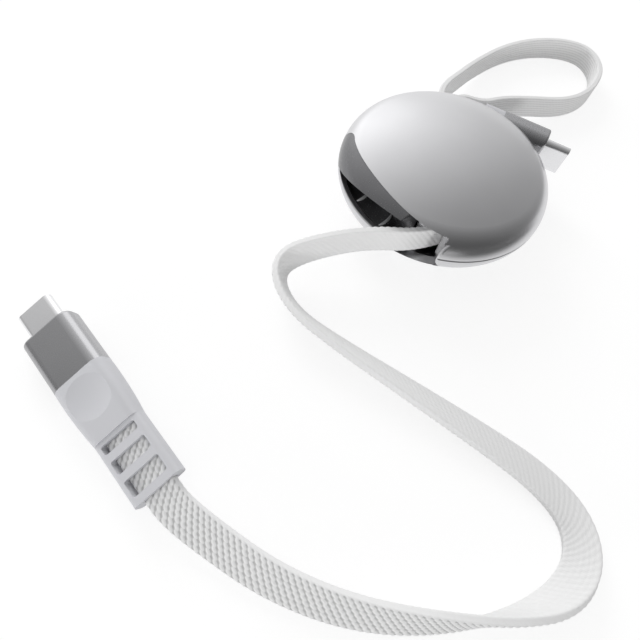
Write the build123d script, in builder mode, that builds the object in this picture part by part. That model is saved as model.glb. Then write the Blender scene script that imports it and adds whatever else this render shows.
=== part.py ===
"""A retractable charging cable: a pebble case with a spring reel, a flat braided ribbon and two plugs.

Millimetres. The origin is the middle of the pad that the case stands on, +Z goes up along the
reel's axis, and the ribbon leaves the case towards -X.
"""

import math
import os

from build123d import *

os.makedirs("parts", exist_ok=True)

# Clearances: of what turns, of what is only put in place, and of what passes with room to spare
RUNNING_GAP = 0.05
SLIP_GAP = 0.15
FREE_GAP = 0.4

# Case: two domed shells that meet at the rim
CASE_RADIUS = 27.0
CROWN_RISE = 11.3
RIM_ROUND = 7.4
SHELL_WALL = 1.4
SEAM_DEPTH = 0.25

# Pad under the case
PAD_RADIUS = 9.4
PAD_THICKNESS = 1.2
PAD_PROUD = 0.5
PAD_EDGE_ROUND = 0.3
FLAT_MARGIN = 0.6
FLOOR_THICKNESS = 1.1

# Ribbon
RIBBON_WIDTH = 7.0
RIBBON_THICKNESS = 1.7

# Reel
AXLE_RADIUS = 3.0
AXLE_SHOULDER_RADIUS = 4.6
AXLE_SPIGOT_RADIUS = 2.2
AXLE_SPIGOT_LENGTH = 1.5
SOCKET_WALL = 2.2
DRUM_RADIUS = 8.6
DRUM_WALL = 0.9
FLANGE_INSET = 8.4
FLANGE_THICKNESS = 1.0
ROLL_INSET = 3.6
REEL_SIDE_GAP = 0.2
COVER_SPIGOT = 0.8
NOTCH_COUNT = 12
NOTCH_DEPTH = 1.7
NOTCH_WIDTH = 4.0
RING_THICKNESS = 0.6
RING_RADIUS = 4.4
RING_GROOVE_DEPTH = 0.5
RING_MOUTH = 3.6

# Mainspring: a flat strip in a spiral of half turns
SPRING_STRIP = 0.28
SPRING_PITCH = 0.52
SPRING_TURNS = 7

# Screw through the axle, from the base into the upper shell
SCREW_RADIUS = 1.0
SCREW_BITE = 1.8
SCREW_HEAD_RADIUS = 2.2
SCREW_HEAD_HEIGHT = 1.0
SCREW_SLOT_WIDTH = 0.6
SCREW_SLOT_DEPTH = 0.5
BOSS_RADIUS = 5.5

# Slip rings between the turning reel and the fixed rear plug
BOARD_RADIUS = 15.0
BOARD_THICKNESS = 0.8
BOARD_DROP = 1.7
POST_COUNT = 3
POST_RADIUS = 1.1
POST_CIRCLE = 11.5
SLIP_RING_COUNT = 4
SLIP_RING_FIRST = 6.6
SLIP_RING_STEP = 1.9
SLIP_RING_WIDTH = 1.0
SLIP_RING_HEIGHT = 0.1
CARRIER_AZIMUTH = 40.0
CARRIER_WIDTH = 3.4
CARRIER_HEIGHT = 0.6
FINGER_WIDTH = 0.7
FINGER_LEAF = 0.25

# Ratchet pawl beside the reel
PAWL_AZIMUTH = -20.0
PAWL_PIVOT_STAND_OFF = 2.7
PAWL_PIN_RADIUS = 0.8
PAWL_HUB_RADIUS = 1.5
PAWL_ARM = 6.0
PAWL_THICKNESS = 1.2
PAWL_NOSE_RADIUS = 0.6
PAWL_SWING = 12.0
PAWL_PIN_SEAT = 1.5
PAWL_HEAD_RADIUS = 1.2
PAWL_HEAD_HEIGHT = 0.4

# Dock in the rim: a tray that lies flush at its round end and is hollow towards the mouth
DOCK_AZIMUTH = -138.0
DOCK_REEL_GAP = 1.05
DOCK_HALF_HEIGHT = 6.4
DOCK_MOUTH_HALF_HEIGHT = 4.7
DOCK_MOUTH_INSET = 7.4
DOCK_END_HALF_HEIGHT = 5.3
DOCK_END_INSET = 8.0
DOCK_END_ROUND = 5.0
LINER_WALL = 0.6
LIP_END_INSET = 17.8
MOUTH_LIP_ROUND = 0.65
HOLLOW_TIP_INSET = 14.0
HOLLOW_BROW_AT = 4.0
HOLLOW_BROW_HEIGHT = 5.0
SHELF_AZIMUTHS = (-142.0, -120.5)
SHELF_INSET = 4.2
SHELF_HEADING = -30.0
SHELF_ROUND = 6.2
SHELF_LENGTH = 20.0
SHELF_TILT = 12.0

# Way of the ribbon out of the mouth
EXIT_HEADING = 192.8
EXIT_INSET = 5.4
EXIT_CORNER = 7.0
LEAD_LENGTH = 11.0
ROLLER_RADIUS = 1.2
ROLLER_PIN_RADIUS = 0.6
ROLLER_HALF_HEIGHT = 4.4
ROLLER_PIN_SEAT = 1.2
OUTER_ROLLER_BACK = 5.0

# Plugs
PLUG_SHELL_WIDTH = 8.25
PLUG_SHELL_HEIGHT = 2.4
PLUG_SHELL_WALL = 0.3
PLUG_SHELL_REACH = 6.65
PLUG_SHELL_SEAT = 3.0
TONGUE_SLOT_WIDTH = 6.8
TONGUE_SLOT_HEIGHT = 0.85
TONGUE_SLOT_DEPTH = 5.2
INSERT_SETBACK = 0.5
BARREL_WIDTH = 12.0
BARREL_THICKNESS = 6.4
BARREL_LENGTH = 13.0
BARREL_CORNER = 2.4
BARREL_EDGE = 0.6
GRIP_LENGTH = 13.6
GRIP_WAIST_AT = 5.0
GRIP_WAIST_WIDTH = 11.6
GRIP_WAIST_THICKNESS = 6.1
GRIP_TAIL_WIDTH = 10.8
GRIP_TAIL_THICKNESS = 5.2
GRIP_TAIL_CORNER = 2.0
DIMPLE_RADIUS = 4.9
DIMPLE_DEPTH = 0.7
DIMPLE_BACK = 5.9
LADDER_LENGTH = 13.8
LADDER_WIDTH = 10.8
LADDER_THICKNESS = 4.2
LADDER_CORNER = 1.4
LADDER_FIRST_BAR = 0.8
LADDER_BAR = 1.6
WINDOW_WIDTH = 8.0
WINDOW_LENGTHS = (1.9, 2.9, 3.5)
WINDOW_CORNER = 0.5
RIBBON_HOLE_GAP = 0.1
BOOT_LENGTH = 5.6
BOOT_WIDTH = 11.6
BOOT_THICKNESS = 6.0
BOOT_CORNER = 2.2

# Front plug: the tail of its grip, the way it points on the table and its roll, held by the stiff ribbon
FRONT_PLUG_TAIL_X = -52.2
FRONT_PLUG_TAIL_Y = -80.8
FRONT_PLUG_HEADING = 143.6
FRONT_PLUG_ROLL = 22.0

# Rear plug, fixed in the rim
REAR_PLUG_HEADING = -13.4
REAR_PLUG_INSET = 3.4
REAR_PLUG_TAIL = 2.0
FLEX_THICKNESS = 0.4
FLEX_WIDTH = 5.6
FLEX_LAP = 1.4
FLEX_SLOPE_RUN = 4.1
FLEX_PLUG_INSET = 1.0
FLEX_FOOT_DROP = 3.4
FLEX_TOP_RISE = 2.0
FLEX_BEND_RADIUS = 0.8

# Wrist strap and the pin that holds it
STRAP_AZIMUTH = 95.0
STRAP_WIDTH = 6.6
STRAP_THICKNESS = 1.7
STRAP_PIN_RADIUS = 1.0
STRAP_PIN_INSET = 3.6
STRAP_PIN_HALF_LENGTH = 4.8
STRAP_SLOT_MARGIN = 0.4
STRAP_EAR_RADIUS = 2.0
STRAP_STRAIGHT = 5.2

# Routes on the table, in top view, and where each comes down from the case to the table
RIBBON_ROUTE = (
    (-15.0, -25.6),
    (-25.5, -28.4),
    (-33.4, -32.6),
    (-35.6, -39.6),
    (-30.0, -45.6),
    (-15.0, -50.5),
    (2.0, -56.8),
    (18.0, -62.3),
    (31.0, -67.8),
    (39.5, -74.0),
    (41.0, -82.0),
    (36.5, -89.5),
    (26.5, -94.8),
    (12.0, -99.3),
    (-3.0, -101.8),
    (-17.5, -101.0),
    (-29.8, -97.3),
)
RIBBON_DROP = (-25.6, -37.0)
STRAP_ROUTE = (
    (-3.2, 34.5),
    (1.5, 44.0),
    (6.0, 56.0),
    (14.8, 70.0),
    (25.0, 78.4),
    (36.5, 83.0),
    (45.0, 82.0),
    (49.3, 74.0),
    (47.8, 63.5),
    (42.0, 53.8),
    (33.5, 47.6),
    (24.0, 44.5),
    (15.5, 40.0),
    (8.3, 33.0),
)
STRAP_DROP = (29.0, 48.0)
DROP_ROUND = 14.0
TWIST_LENGTH = 7.0
TWIST_STEPS = 4

# Share of the shorter run that each arc of a cord's route takes up
CORNER_SHARE = 0.45


def around(radius, azimuth, height=0.0):
    """A point at a distance from the axis, in a compass direction counted from +X."""
    turn = math.radians(azimuth)
    return Vector(radius * math.cos(turn), radius * math.sin(turn), height)


def direction(azimuth):
    """The level unit vector of a compass direction."""
    return around(1.0, azimuth)


def write(builder, name):
    """Labels a finished piece and writes its STEP file."""
    builder.part.label = name
    export_step(builder.part, f"parts/{name}.step")


def corner_radii(points):
    """The arc radius at each inner point of a route, as large as its two runs allow."""
    radii = []
    for before, here, after in zip(points, points[1:], points[2:]):
        run_in = Vector(here) - Vector(before)
        run_out = Vector(after) - Vector(here)
        half_turn = math.radians(run_in.get_angle(run_out)) / 2
        radii.append(CORNER_SHARE * min(run_in.length, run_out.length) / math.tan(half_turn))
    return radii


# Shape of the dome: a wide crown arc that runs into a rim arc
RIM_CENTRE = CASE_RADIUS - RIM_ROUND
CROWN_RADIUS = (RIM_CENTRE**2 + CROWN_RISE**2 - RIM_ROUND**2) / (2 * (CROWN_RISE - RIM_ROUND))
CROWN_ANGLE = math.degrees(math.asin(RIM_CENTRE / (CROWN_RADIUS - RIM_ROUND)))
FLAT_RADIUS = PAD_RADIUS + FLAT_MARGIN
FLAT_ANGLE = math.degrees(math.asin(FLAT_RADIUS / CROWN_RADIUS))
CROWN_DROP = CROWN_RADIUS - CROWN_RISE
TALL = 4 * CASE_RADIUS

# Distances from the axis, counted inwards from the rim or outwards from the reel
FLANGE_RADIUS = CASE_RADIUS - FLANGE_INSET
ROLL_RADIUS = FLANGE_RADIUS - ROLL_INSET
PAWL_PIVOT_RADIUS = FLANGE_RADIUS + PAWL_PIVOT_STAND_OFF
DOCK_FLOOR_RADIUS = FLANGE_RADIUS + DOCK_REEL_GAP + RUNNING_GAP + LINER_WALL
DOCK_MOUTH_REACH = CASE_RADIUS - DOCK_MOUTH_INSET
DOCK_END_REACH = CASE_RADIUS - DOCK_END_INSET
DOCK_END_START = DOCK_END_REACH - DOCK_END_ROUND
LIP_END_REACH = CASE_RADIUS - LIP_END_INSET
HOLLOW_TIP_REACH = CASE_RADIUS - HOLLOW_TIP_INSET
SHELF_CIRCLE = CASE_RADIUS - SHELF_INSET
EXIT_OFFSET = CASE_RADIUS - EXIT_INSET
REAR_PLUG_OFFSET = CASE_RADIUS - REAR_PLUG_INSET
FLEX_START = BOARD_RADIUS - FLEX_LAP
FLEX_WALL = REAR_PLUG_OFFSET - FLEX_PLUG_INSET
FLEX_BEND = FLEX_WALL - FLEX_SLOPE_RUN
STRAP_PIN_CIRCLE = CASE_RADIUS - STRAP_PIN_INSET

# Heights, from the table up
MID = CROWN_RADIUS * math.cos(math.radians(FLAT_ANGLE)) - CROWN_DROP + PAD_PROUD
FLOOR_TOP = PAD_THICKNESS + FLOOR_THICKNESS
FLANGE_INSIDE = RIBBON_WIDTH / 2 + REEL_SIDE_GAP
REEL_BOTTOM = MID - FLANGE_INSIDE - FLANGE_THICKNESS
REEL_TOP = MID + FLANGE_INSIDE + FLANGE_THICKNESS
BOARD_TOP = REEL_BOTTOM - BOARD_DROP
BOARD_BOTTOM = BOARD_TOP - BOARD_THICKNESS
AXLE_BASE = BOARD_BOTTOM
RING_BOTTOM = REEL_TOP + SLIP_GAP
AXLE_TOP = RING_BOTTOM + RING_THICKNESS + FREE_GAP
SCREW_HEAD_TOP = PAD_THICKNESS + SCREW_HEAD_HEIGHT + SLIP_GAP
SCREW_END = AXLE_TOP + AXLE_SPIGOT_LENGTH + SCREW_BITE
ROLLER_TOP = MID + ROLLER_HALF_HEIGHT
PAWL_BOTTOM = REEL_BOTTOM + (FLANGE_THICKNESS - PAWL_THICKNESS) / 2
PAWL_TOP = PAWL_BOTTOM + PAWL_THICKNESS
STRAP_SLOT_HEIGHT = STRAP_WIDTH + 2 * STRAP_SLOT_MARGIN
STRAP_BIGHT = STRAP_PIN_RADIUS + SLIP_GAP + STRAP_THICKNESS / 2
STRAP_SLOT_WIDTH = 2 * STRAP_BIGHT + STRAP_THICKNESS + 2 * STRAP_SLOT_MARGIN

# Planes that the dock, the strap and the plugs are drawn on
dock_plane = Plane(origin=(0, 0, MID), x_dir=direction(DOCK_AZIMUTH + 90), z_dir=direction(DOCK_AZIMUTH))
strap_out = direction(STRAP_AZIMUTH)
strap_side = direction(STRAP_AZIMUTH - 90)
strap_plane = Plane(origin=(0, 0, MID), x_dir=strap_side, z_dir=strap_out)
strap_pin_at = around(STRAP_PIN_CIRCLE, STRAP_AZIMUTH, MID)
rear_forward = direction(REAR_PLUG_HEADING)
rear_outward = direction(REAR_PLUG_HEADING + 90)
rear_tail = rear_outward * REAR_PLUG_OFFSET + rear_forward * REAR_PLUG_TAIL + Vector(0, 0, MID)
rear_plane = Plane(origin=rear_tail, x_dir=(0, 0, 1), z_dir=rear_forward)
rear_barrel_plane = rear_plane.offset(BOOT_LENGTH)
flex_plane = Plane(origin=rear_forward * REAR_PLUG_TAIL, x_dir=rear_outward, z_dir=rear_forward)
front_forward = direction(FRONT_PLUG_HEADING)
front_right = direction(FRONT_PLUG_HEADING - 90)
front_roll = math.radians(FRONT_PLUG_ROLL)
front_side = front_right * math.cos(front_roll) + Vector(0, 0, math.sin(front_roll))
front_up = Vector(0, 0, math.cos(front_roll)) - front_right * math.sin(front_roll)
front_rest = (
    (BARREL_WIDTH / 2 - BARREL_CORNER) * math.sin(front_roll)
    + (BARREL_THICKNESS / 2 - BARREL_CORNER) * math.cos(front_roll)
    + BARREL_CORNER
)
front_tail = Vector(FRONT_PLUG_TAIL_X, FRONT_PLUG_TAIL_Y, front_rest + RUNNING_GAP)
front_plane = Plane(origin=front_tail, x_dir=front_side, z_dir=front_forward)
front_barrel_plane = front_plane.offset(GRIP_LENGTH)
front_top_plane = Plane(origin=front_tail, x_dir=front_forward, z_dir=front_up)
ladder_end = front_tail - front_forward * LADDER_LENGTH

# The way out: off the roll, round the inner roller and on along the exit line
exit_forward = direction(EXIT_HEADING)
exit_corner = around(EXIT_OFFSET, EXIT_HEADING + 90) + exit_forward * EXIT_CORNER
lead_radius = ROLL_RADIUS + RIBBON_THICKNESS / 2 + SLIP_GAP
lead_spread = math.degrees(math.acos(lead_radius / exit_corner.length))
corner_azimuth = math.degrees(math.atan2(exit_corner.Y, exit_corner.X))
roll_touch = around(lead_radius, corner_azimuth + lead_spread)
lead_forward = (exit_corner - roll_touch).normalized()
lead_start = exit_corner - lead_forward * LEAD_LENGTH
roller_stand_off = ROLLER_RADIUS + RIBBON_THICKNESS / 2 + SLIP_GAP
roller_inward = (exit_forward - lead_forward).normalized()
half_lead_turn = math.radians(lead_forward.get_angle(exit_forward)) / 2
corner_arc = corner_radii(((lead_start.X, lead_start.Y), (exit_corner.X, exit_corner.Y), RIBBON_ROUTE[0]))[0]
corner_cut = corner_arc / math.cos(half_lead_turn) - corner_arc
inner_roller = exit_corner + roller_inward * (corner_cut + roller_stand_off)
lead_outward = Vector(-lead_forward.Y, lead_forward.X)
outer_roller = exit_corner - lead_forward * OUTER_ROLLER_BACK + lead_outward * roller_stand_off
rollers = (inner_roller, outer_roller)

# Pawl: its nose stands clear of the flange at rest and dips into a notch when it swings in
pawl_pivot = around(PAWL_PIVOT_RADIUS, PAWL_AZIMUTH)
nose_radius = FLANGE_RADIUS + FREE_GAP + PAWL_NOSE_RADIUS
nose_cosine = (PAWL_PIVOT_RADIUS**2 + nose_radius**2 - PAWL_ARM**2) / (2 * PAWL_PIVOT_RADIUS * nose_radius)
pawl_nose = around(nose_radius, PAWL_AZIMUTH + math.degrees(math.acos(nose_cosine)))
pawl_dip = pawl_pivot + (pawl_nose - pawl_pivot).rotate(Axis.Z, PAWL_SWING)
notch_azimuth = math.degrees(math.atan2(pawl_dip.Y, pawl_dip.X))


def case_section(inset):
    """Half the case's section, set in from the outside by part of a wall's thickness."""
    crown = CROWN_RADIUS - inset
    with BuildSketch() as section:
        with BuildLine():
            CenterArc((0, MID - CROWN_DROP), crown, 90 - CROWN_ANGLE, CROWN_ANGLE)
            CenterArc((RIM_CENTRE, MID), RIM_ROUND - inset, CROWN_ANGLE - 90, 2 * (90 - CROWN_ANGLE))
            foot = CenterArc((0, MID + CROWN_DROP), crown, FLAT_ANGLE - 90, CROWN_ANGLE - FLAT_ANGLE)
            Polyline(foot @ 0, (0, (foot @ 0).Y), (0, MID + CROWN_RISE - inset))
        make_face()
    return section.sketch


def dock_outline(margin):
    """The dock's opening as seen along its depth: arched above, level below, with one round end."""
    with BuildSketch() as outline:
        with BuildLine():
            top = ThreePointArc(
                (DOCK_MOUTH_REACH, DOCK_MOUTH_HALF_HEIGHT),
                (0, DOCK_HALF_HEIGHT),
                (-DOCK_END_START, DOCK_END_HALF_HEIGHT),
            )
            end = ThreePointArc(top @ 1, (-DOCK_END_REACH, 0), (-DOCK_END_START, -DOCK_MOUTH_HALF_HEIGHT))
            Polyline(end @ 1, (DOCK_MOUTH_REACH, -DOCK_MOUTH_HALF_HEIGHT), top @ 0)
        make_face()
        if margin:
            offset(amount=margin)
    return outline.sketch


def dock_prism(margin, floor_radius):
    """The dock's space or a tray round it, from the floor outwards past the rim."""
    outline = dock_outline(margin)
    with BuildPart() as prism:
        with BuildSketch(dock_plane):
            add(outline)
        extrude(amount=TALL)
        Cylinder(floor_radius, TALL, mode=Mode.SUBTRACT)
    return prism.part


def lip_block(gap):
    """The room below the dock where the lower shell's rim goes on as a lip."""
    with BuildPart() as block:
        with BuildSketch(dock_plane):
            with Locations((LIP_END_REACH + gap, gap)):
                Rectangle(TALL, TALL, align=(Align.MAX, Align.MAX))
        extrude(amount=TALL)
    return block.part


def standing_band(points, thickness, width, drop, low):
    """A band that stands on its edge along a route, and comes down from the case to the table."""
    radii = corner_radii(points)
    step = math.copysign(TALL, drop[1] - drop[0])
    heights = ((drop[0] - step, MID), (drop[0], MID), (drop[1], low), (drop[1] + step, low))
    half = width / 2
    with BuildPart() as part:
        with BuildSketch():
            with BuildLine() as route:
                FilletPolyline(*points, radius=radii)
            trace(line_width=thickness)
        extrude(amount=MID + width)
        with BuildSketch(Plane.YZ):
            with BuildLine():
                upper = FilletPolyline(*[(y, z + half) for y, z in heights], radius=DROP_ROUND)
                under = FilletPolyline(*[(y, z - half) for y, z in heights], radius=DROP_ROUND)
                Line(upper @ 0, under @ 0)
                Line(upper @ 1, under @ 1)
            make_face()
        extrude(amount=TALL, both=True, mode=Mode.INTERSECT)
    print("arc radii:", ", ".join(f"{radius:.1f}" for radius in radii))
    length = sum(edge.length for edge in route.edges())
    print(f"route {length:.1f} mm, volume {part.part.volume:.0f} mm3, section x route", end=" ")
    print(f"{thickness * width * length:.0f} mm3")
    return part.part


def plug_shell(barrel_plane):
    """The steel shell of a plug, seated in the front of its barrel."""
    with BuildPart() as part:
        with BuildSketch(barrel_plane.offset(BARREL_LENGTH - PLUG_SHELL_SEAT)):
            SlotOverall(PLUG_SHELL_WIDTH, PLUG_SHELL_HEIGHT)
            SlotOverall(
                PLUG_SHELL_WIDTH - 2 * PLUG_SHELL_WALL,
                PLUG_SHELL_HEIGHT - 2 * PLUG_SHELL_WALL,
                mode=Mode.SUBTRACT,
            )
        extrude(amount=PLUG_SHELL_SEAT + PLUG_SHELL_REACH)
    return part


def plug_insert(barrel_plane):
    """The contact carrier inside a plug's shell, with the slot that takes the socket's tongue."""
    front = BARREL_LENGTH + PLUG_SHELL_REACH - INSERT_SETBACK
    with BuildPart() as part:
        with BuildSketch(barrel_plane.offset(BARREL_LENGTH - PLUG_SHELL_SEAT)):
            SlotOverall(PLUG_SHELL_WIDTH - 2 * PLUG_SHELL_WALL, PLUG_SHELL_HEIGHT - 2 * PLUG_SHELL_WALL)
        extrude(amount=front - BARREL_LENGTH + PLUG_SHELL_SEAT)
        with BuildSketch(barrel_plane.offset(front)):
            Rectangle(TONGUE_SLOT_WIDTH, TONGUE_SLOT_HEIGHT)
        extrude(amount=-TONGUE_SLOT_DEPTH, mode=Mode.SUBTRACT)
    return part


def plug_barrel(barrel_plane):
    """The metal sleeve of a plug, with a seat for the shell."""
    with BuildPart() as part:
        with BuildSketch(barrel_plane):
            RectangleRounded(BARREL_WIDTH, BARREL_THICKNESS, BARREL_CORNER)
        extrude(amount=BARREL_LENGTH)
        front_face = part.faces().sort_by(Axis(barrel_plane.origin, barrel_plane.z_dir))[-1]
        fillet(front_face.edges(), BARREL_EDGE)
        with BuildSketch(barrel_plane.offset(BARREL_LENGTH)):
            SlotOverall(PLUG_SHELL_WIDTH, PLUG_SHELL_HEIGHT)
        extrude(amount=-PLUG_SHELL_SEAT, mode=Mode.SUBTRACT)
    return part


# Solids that the shells are made from
with BuildPart() as envelope:
    with BuildSketch(Plane.XZ):
        add(case_section(0.0))
    revolve(axis=Axis.Z)

with BuildPart() as core:
    with BuildSketch(Plane.XZ):
        add(case_section(SHELL_WALL / 2))
    revolve(axis=Axis.Z)

with BuildPart() as cavity:
    with BuildSketch(Plane.XZ):
        add(case_section(SHELL_WALL))
    revolve(axis=Axis.Z)
    with Locations((0, 0, FLOOR_TOP)):
        Cylinder(FLAT_RADIUS, TALL, align=(Align.CENTER, Align.CENTER, Align.MAX), mode=Mode.SUBTRACT)

# Both shells in one piece, with the rounded edge that the ribbon is pulled over
with BuildPart() as hull:
    add(envelope.part)
    add(cavity.part, mode=Mode.SUBTRACT)
    mouth_edge_at = DOCK_MOUTH_REACH + LINER_WALL + RUNNING_GAP
    with BuildSketch(dock_plane):
        with Locations((mouth_edge_at, 0)):
            Rectangle(
                DOCK_MOUTH_REACH - LIP_END_REACH,
                2 * (DOCK_MOUTH_HALF_HEIGHT - LINER_WALL),
                align=(Align.MAX, Align.CENTER),
            )
    extrude(amount=TALL, mode=Mode.SUBTRACT)
    mouth_edge_depth = math.sqrt(CASE_RADIUS**2 - mouth_edge_at**2)
    mouth_edge_middle = dock_plane.from_local_coords((mouth_edge_at, 0, mouth_edge_depth))
    fillet(hull.edges().sort_by_distance(mouth_edge_middle)[0], MOUTH_LIP_ROUND)

# What is cut out of both shells: dock, seat of the rear plug, strap slot and the line between them
with BuildPart() as shell_cuts:
    add(dock_prism(LINER_WALL + RUNNING_GAP, DOCK_FLOOR_RADIUS - LINER_WALL - RUNNING_GAP))
    add(lip_block(0.0), mode=Mode.SUBTRACT)
    with BuildSketch(rear_plane.offset(-SLIP_GAP)):
        RectangleRounded(
            BARREL_WIDTH + 2 * SLIP_GAP, BARREL_THICKNESS + 2 * SLIP_GAP, BARREL_CORNER + SLIP_GAP
        )
    extrude(amount=TALL)
    with BuildSketch(strap_plane.offset(FLANGE_RADIUS)):
        RectangleRounded(STRAP_SLOT_WIDTH, STRAP_SLOT_HEIGHT, STRAP_THICKNESS / 2)
    extrude(amount=TALL)
    with BuildSketch(Plane.XZ):
        with BuildLine():
            Polyline(
                (CASE_RADIUS - SEAM_DEPTH, MID),
                (CASE_RADIUS + SEAM_DEPTH, MID + 2 * SEAM_DEPTH),
                (CASE_RADIUS + SEAM_DEPTH, MID - 2 * SEAM_DEPTH),
                close=True,
            )
        make_face()
    revolve(axis=Axis.Z)

# Holes for the pins, from one shell through to the other
with BuildPart() as pin_holes:
    for roller in rollers:
        with Locations((roller.X, roller.Y, MID)):
            Cylinder(ROLLER_PIN_RADIUS + RUNNING_GAP, 2 * (ROLLER_HALF_HEIGHT + ROLLER_PIN_SEAT + SLIP_GAP))
    with Locations(strap_pin_at):
        Cylinder(STRAP_PIN_RADIUS + RUNNING_GAP, 2 * (STRAP_PIN_HALF_LENGTH + RUNNING_GAP))

with BuildPart() as upper_bosses:
    # Socket for the axle's end, seats of the roller pins and an ear over the strap pin
    with BuildSketch(Plane.XY.offset(AXLE_TOP)):
        Circle(AXLE_SPIGOT_RADIUS + SOCKET_WALL)
    extrude(amount=TALL)
    with BuildSketch(Plane.XY.offset(ROLLER_TOP + SLIP_GAP)):
        with Locations(*[(roller.X, roller.Y) for roller in rollers]):
            Circle(ROLLER_RADIUS)
    extrude(amount=TALL)
    with BuildSketch(Plane.XY.offset(MID + STRAP_SLOT_HEIGHT / 2)):
        with Locations((strap_pin_at.X, strap_pin_at.Y)):
            Circle(STRAP_EAR_RADIUS)
    extrude(amount=TALL)
    add(core.part, mode=Mode.INTERSECT)

with BuildPart() as upper_shell:
    add(hull.part)
    split(bisect_by=Plane.XY.offset(MID), keep=Keep.TOP)
    add(shell_cuts.part, mode=Mode.SUBTRACT)
    add(upper_bosses.part)
    add(pin_holes.part, mode=Mode.SUBTRACT)
    with BuildSketch(Plane.XY.offset(AXLE_TOP)):
        Circle(AXLE_SPIGOT_RADIUS + RUNNING_GAP)
    extrude(amount=AXLE_SPIGOT_LENGTH + RUNNING_GAP, mode=Mode.SUBTRACT)
    with BuildSketch(Plane.XY.offset(AXLE_TOP)):
        Circle(SCREW_RADIUS + RUNNING_GAP)
    extrude(amount=SCREW_END - AXLE_TOP + SLIP_GAP, mode=Mode.SUBTRACT)
write(upper_shell, "upper_shell")

with BuildPart() as lower_bosses:
    # Pillar under the axle, posts under the board, seats of the pins and an ear under the strap pin
    with BuildSketch(Plane.XY.offset(AXLE_BASE)):
        Circle(BOSS_RADIUS)
        with PolarLocations(POST_CIRCLE, POST_COUNT):
            Circle(POST_RADIUS)
    extrude(amount=-TALL)
    with BuildSketch(Plane.XY.offset(MID - ROLLER_HALF_HEIGHT - SLIP_GAP)):
        with Locations(*[(roller.X, roller.Y) for roller in rollers]):
            Circle(ROLLER_RADIUS)
    extrude(amount=-TALL)
    with BuildSketch(Plane.XY.offset(MID - STRAP_SLOT_HEIGHT / 2)):
        with Locations((strap_pin_at.X, strap_pin_at.Y)):
            Circle(STRAP_EAR_RADIUS)
    extrude(amount=-TALL)
    with BuildSketch(Plane.XY.offset(PAWL_BOTTOM - RUNNING_GAP)):
        with Locations((pawl_pivot.X, pawl_pivot.Y)):
            Circle(PAWL_HUB_RADIUS)
    extrude(amount=-TALL)
    add(core.part, mode=Mode.INTERSECT)

with BuildPart() as lower_shell:
    add(hull.part)
    split(bisect_by=Plane.XY.offset(MID), keep=Keep.BOTTOM)
    add(shell_cuts.part, mode=Mode.SUBTRACT)
    add(lower_bosses.part)
    add(pin_holes.part, mode=Mode.SUBTRACT)
    with BuildSketch(Plane.XY):
        Circle(PAD_RADIUS + SLIP_GAP)
    extrude(amount=PAD_THICKNESS, mode=Mode.SUBTRACT)
    with BuildSketch(Plane.XY):
        Circle(SCREW_HEAD_RADIUS + SLIP_GAP)
    extrude(amount=SCREW_HEAD_TOP, mode=Mode.SUBTRACT)
    with BuildSketch(Plane.XY):
        Circle(SCREW_RADIUS + SLIP_GAP)
    extrude(amount=MID, mode=Mode.SUBTRACT)
    with BuildSketch(Plane.XY.offset(PAWL_BOTTOM)):
        with Locations((pawl_pivot.X, pawl_pivot.Y)):
            Circle(PAWL_PIN_RADIUS + RUNNING_GAP)
    extrude(amount=-PAWL_PIN_SEAT - RUNNING_GAP, mode=Mode.SUBTRACT)
write(lower_shell, "lower_shell")

# Hollow of the tray, with two round shelves that overlap and tip up towards the mouth
with BuildPart() as dock_hollow:
    with BuildSketch(dock_plane):
        with BuildLine():
            brow = ThreePointArc(
                (-HOLLOW_TIP_REACH, 0),
                (HOLLOW_BROW_AT, HOLLOW_BROW_HEIGHT),
                (DOCK_MOUTH_REACH, DOCK_MOUTH_HALF_HEIGHT - LINER_WALL),
            )
            Polyline(
                brow @ 1,
                (DOCK_MOUTH_REACH, -DOCK_MOUTH_HALF_HEIGHT),
                (-HOLLOW_TIP_REACH, -DOCK_MOUTH_HALF_HEIGHT),
                brow @ 0,
            )
        make_face()
    extrude(amount=TALL)
    Cylinder(DOCK_FLOOR_RADIUS, TALL, mode=Mode.SUBTRACT)
    tilt = math.radians(SHELF_TILT)
    shelf_forward = direction(SHELF_HEADING) * math.cos(tilt) + Vector(0, 0, math.sin(tilt))
    shelf_up = Vector(0, 0, math.cos(tilt)) - direction(SHELF_HEADING) * math.sin(tilt)
    for azimuth in SHELF_AZIMUTHS:
        nose = around(SHELF_CIRCLE, azimuth, MID)
        with BuildSketch(Plane(nose, x_dir=shelf_forward, z_dir=shelf_up)):
            with Locations((-SHELF_LENGTH / 2, 0)):
                SlotOverall(SHELF_LENGTH, 2 * SHELF_ROUND)
        extrude(amount=-TALL, mode=Mode.SUBTRACT)

# Room that the lip takes from the tray
with BuildPart() as lip_room:
    add(lip_block(RUNNING_GAP))
    with BuildSketch(Plane.XZ):
        add(case_section(SHELL_WALL + RUNNING_GAP))
    revolve(axis=Axis.Z, mode=Mode.SUBTRACT)

with BuildPart() as dock_liner:
    add(dock_prism(LINER_WALL, DOCK_FLOOR_RADIUS - LINER_WALL))
    add(envelope.part, mode=Mode.INTERSECT)
    add(lip_room.part, mode=Mode.SUBTRACT)
    add(dock_hollow.part, mode=Mode.SUBTRACT)
    # The tray stops short of the inner roller, where the mouth opens into the case
    mouth_side = dock_plane.to_local_coords(inner_roller).X - ROLLER_RADIUS - FREE_GAP
    mouth_point = dock_plane.from_local_coords((mouth_side, 0, 0))
    split(bisect_by=Plane(mouth_point, z_dir=dock_plane.x_dir), keep=Keep.BOTTOM)
write(dock_liner, "dock_liner")

with BuildPart() as base_pad:
    Cylinder(PAD_RADIUS, PAD_THICKNESS, align=(Align.CENTER, Align.CENTER, Align.MIN))
    fillet(base_pad.edges().filter_by(GeomType.CIRCLE).sort_by(Axis.Z)[0], PAD_EDGE_ROUND)
write(base_pad, "base_pad")

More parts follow.
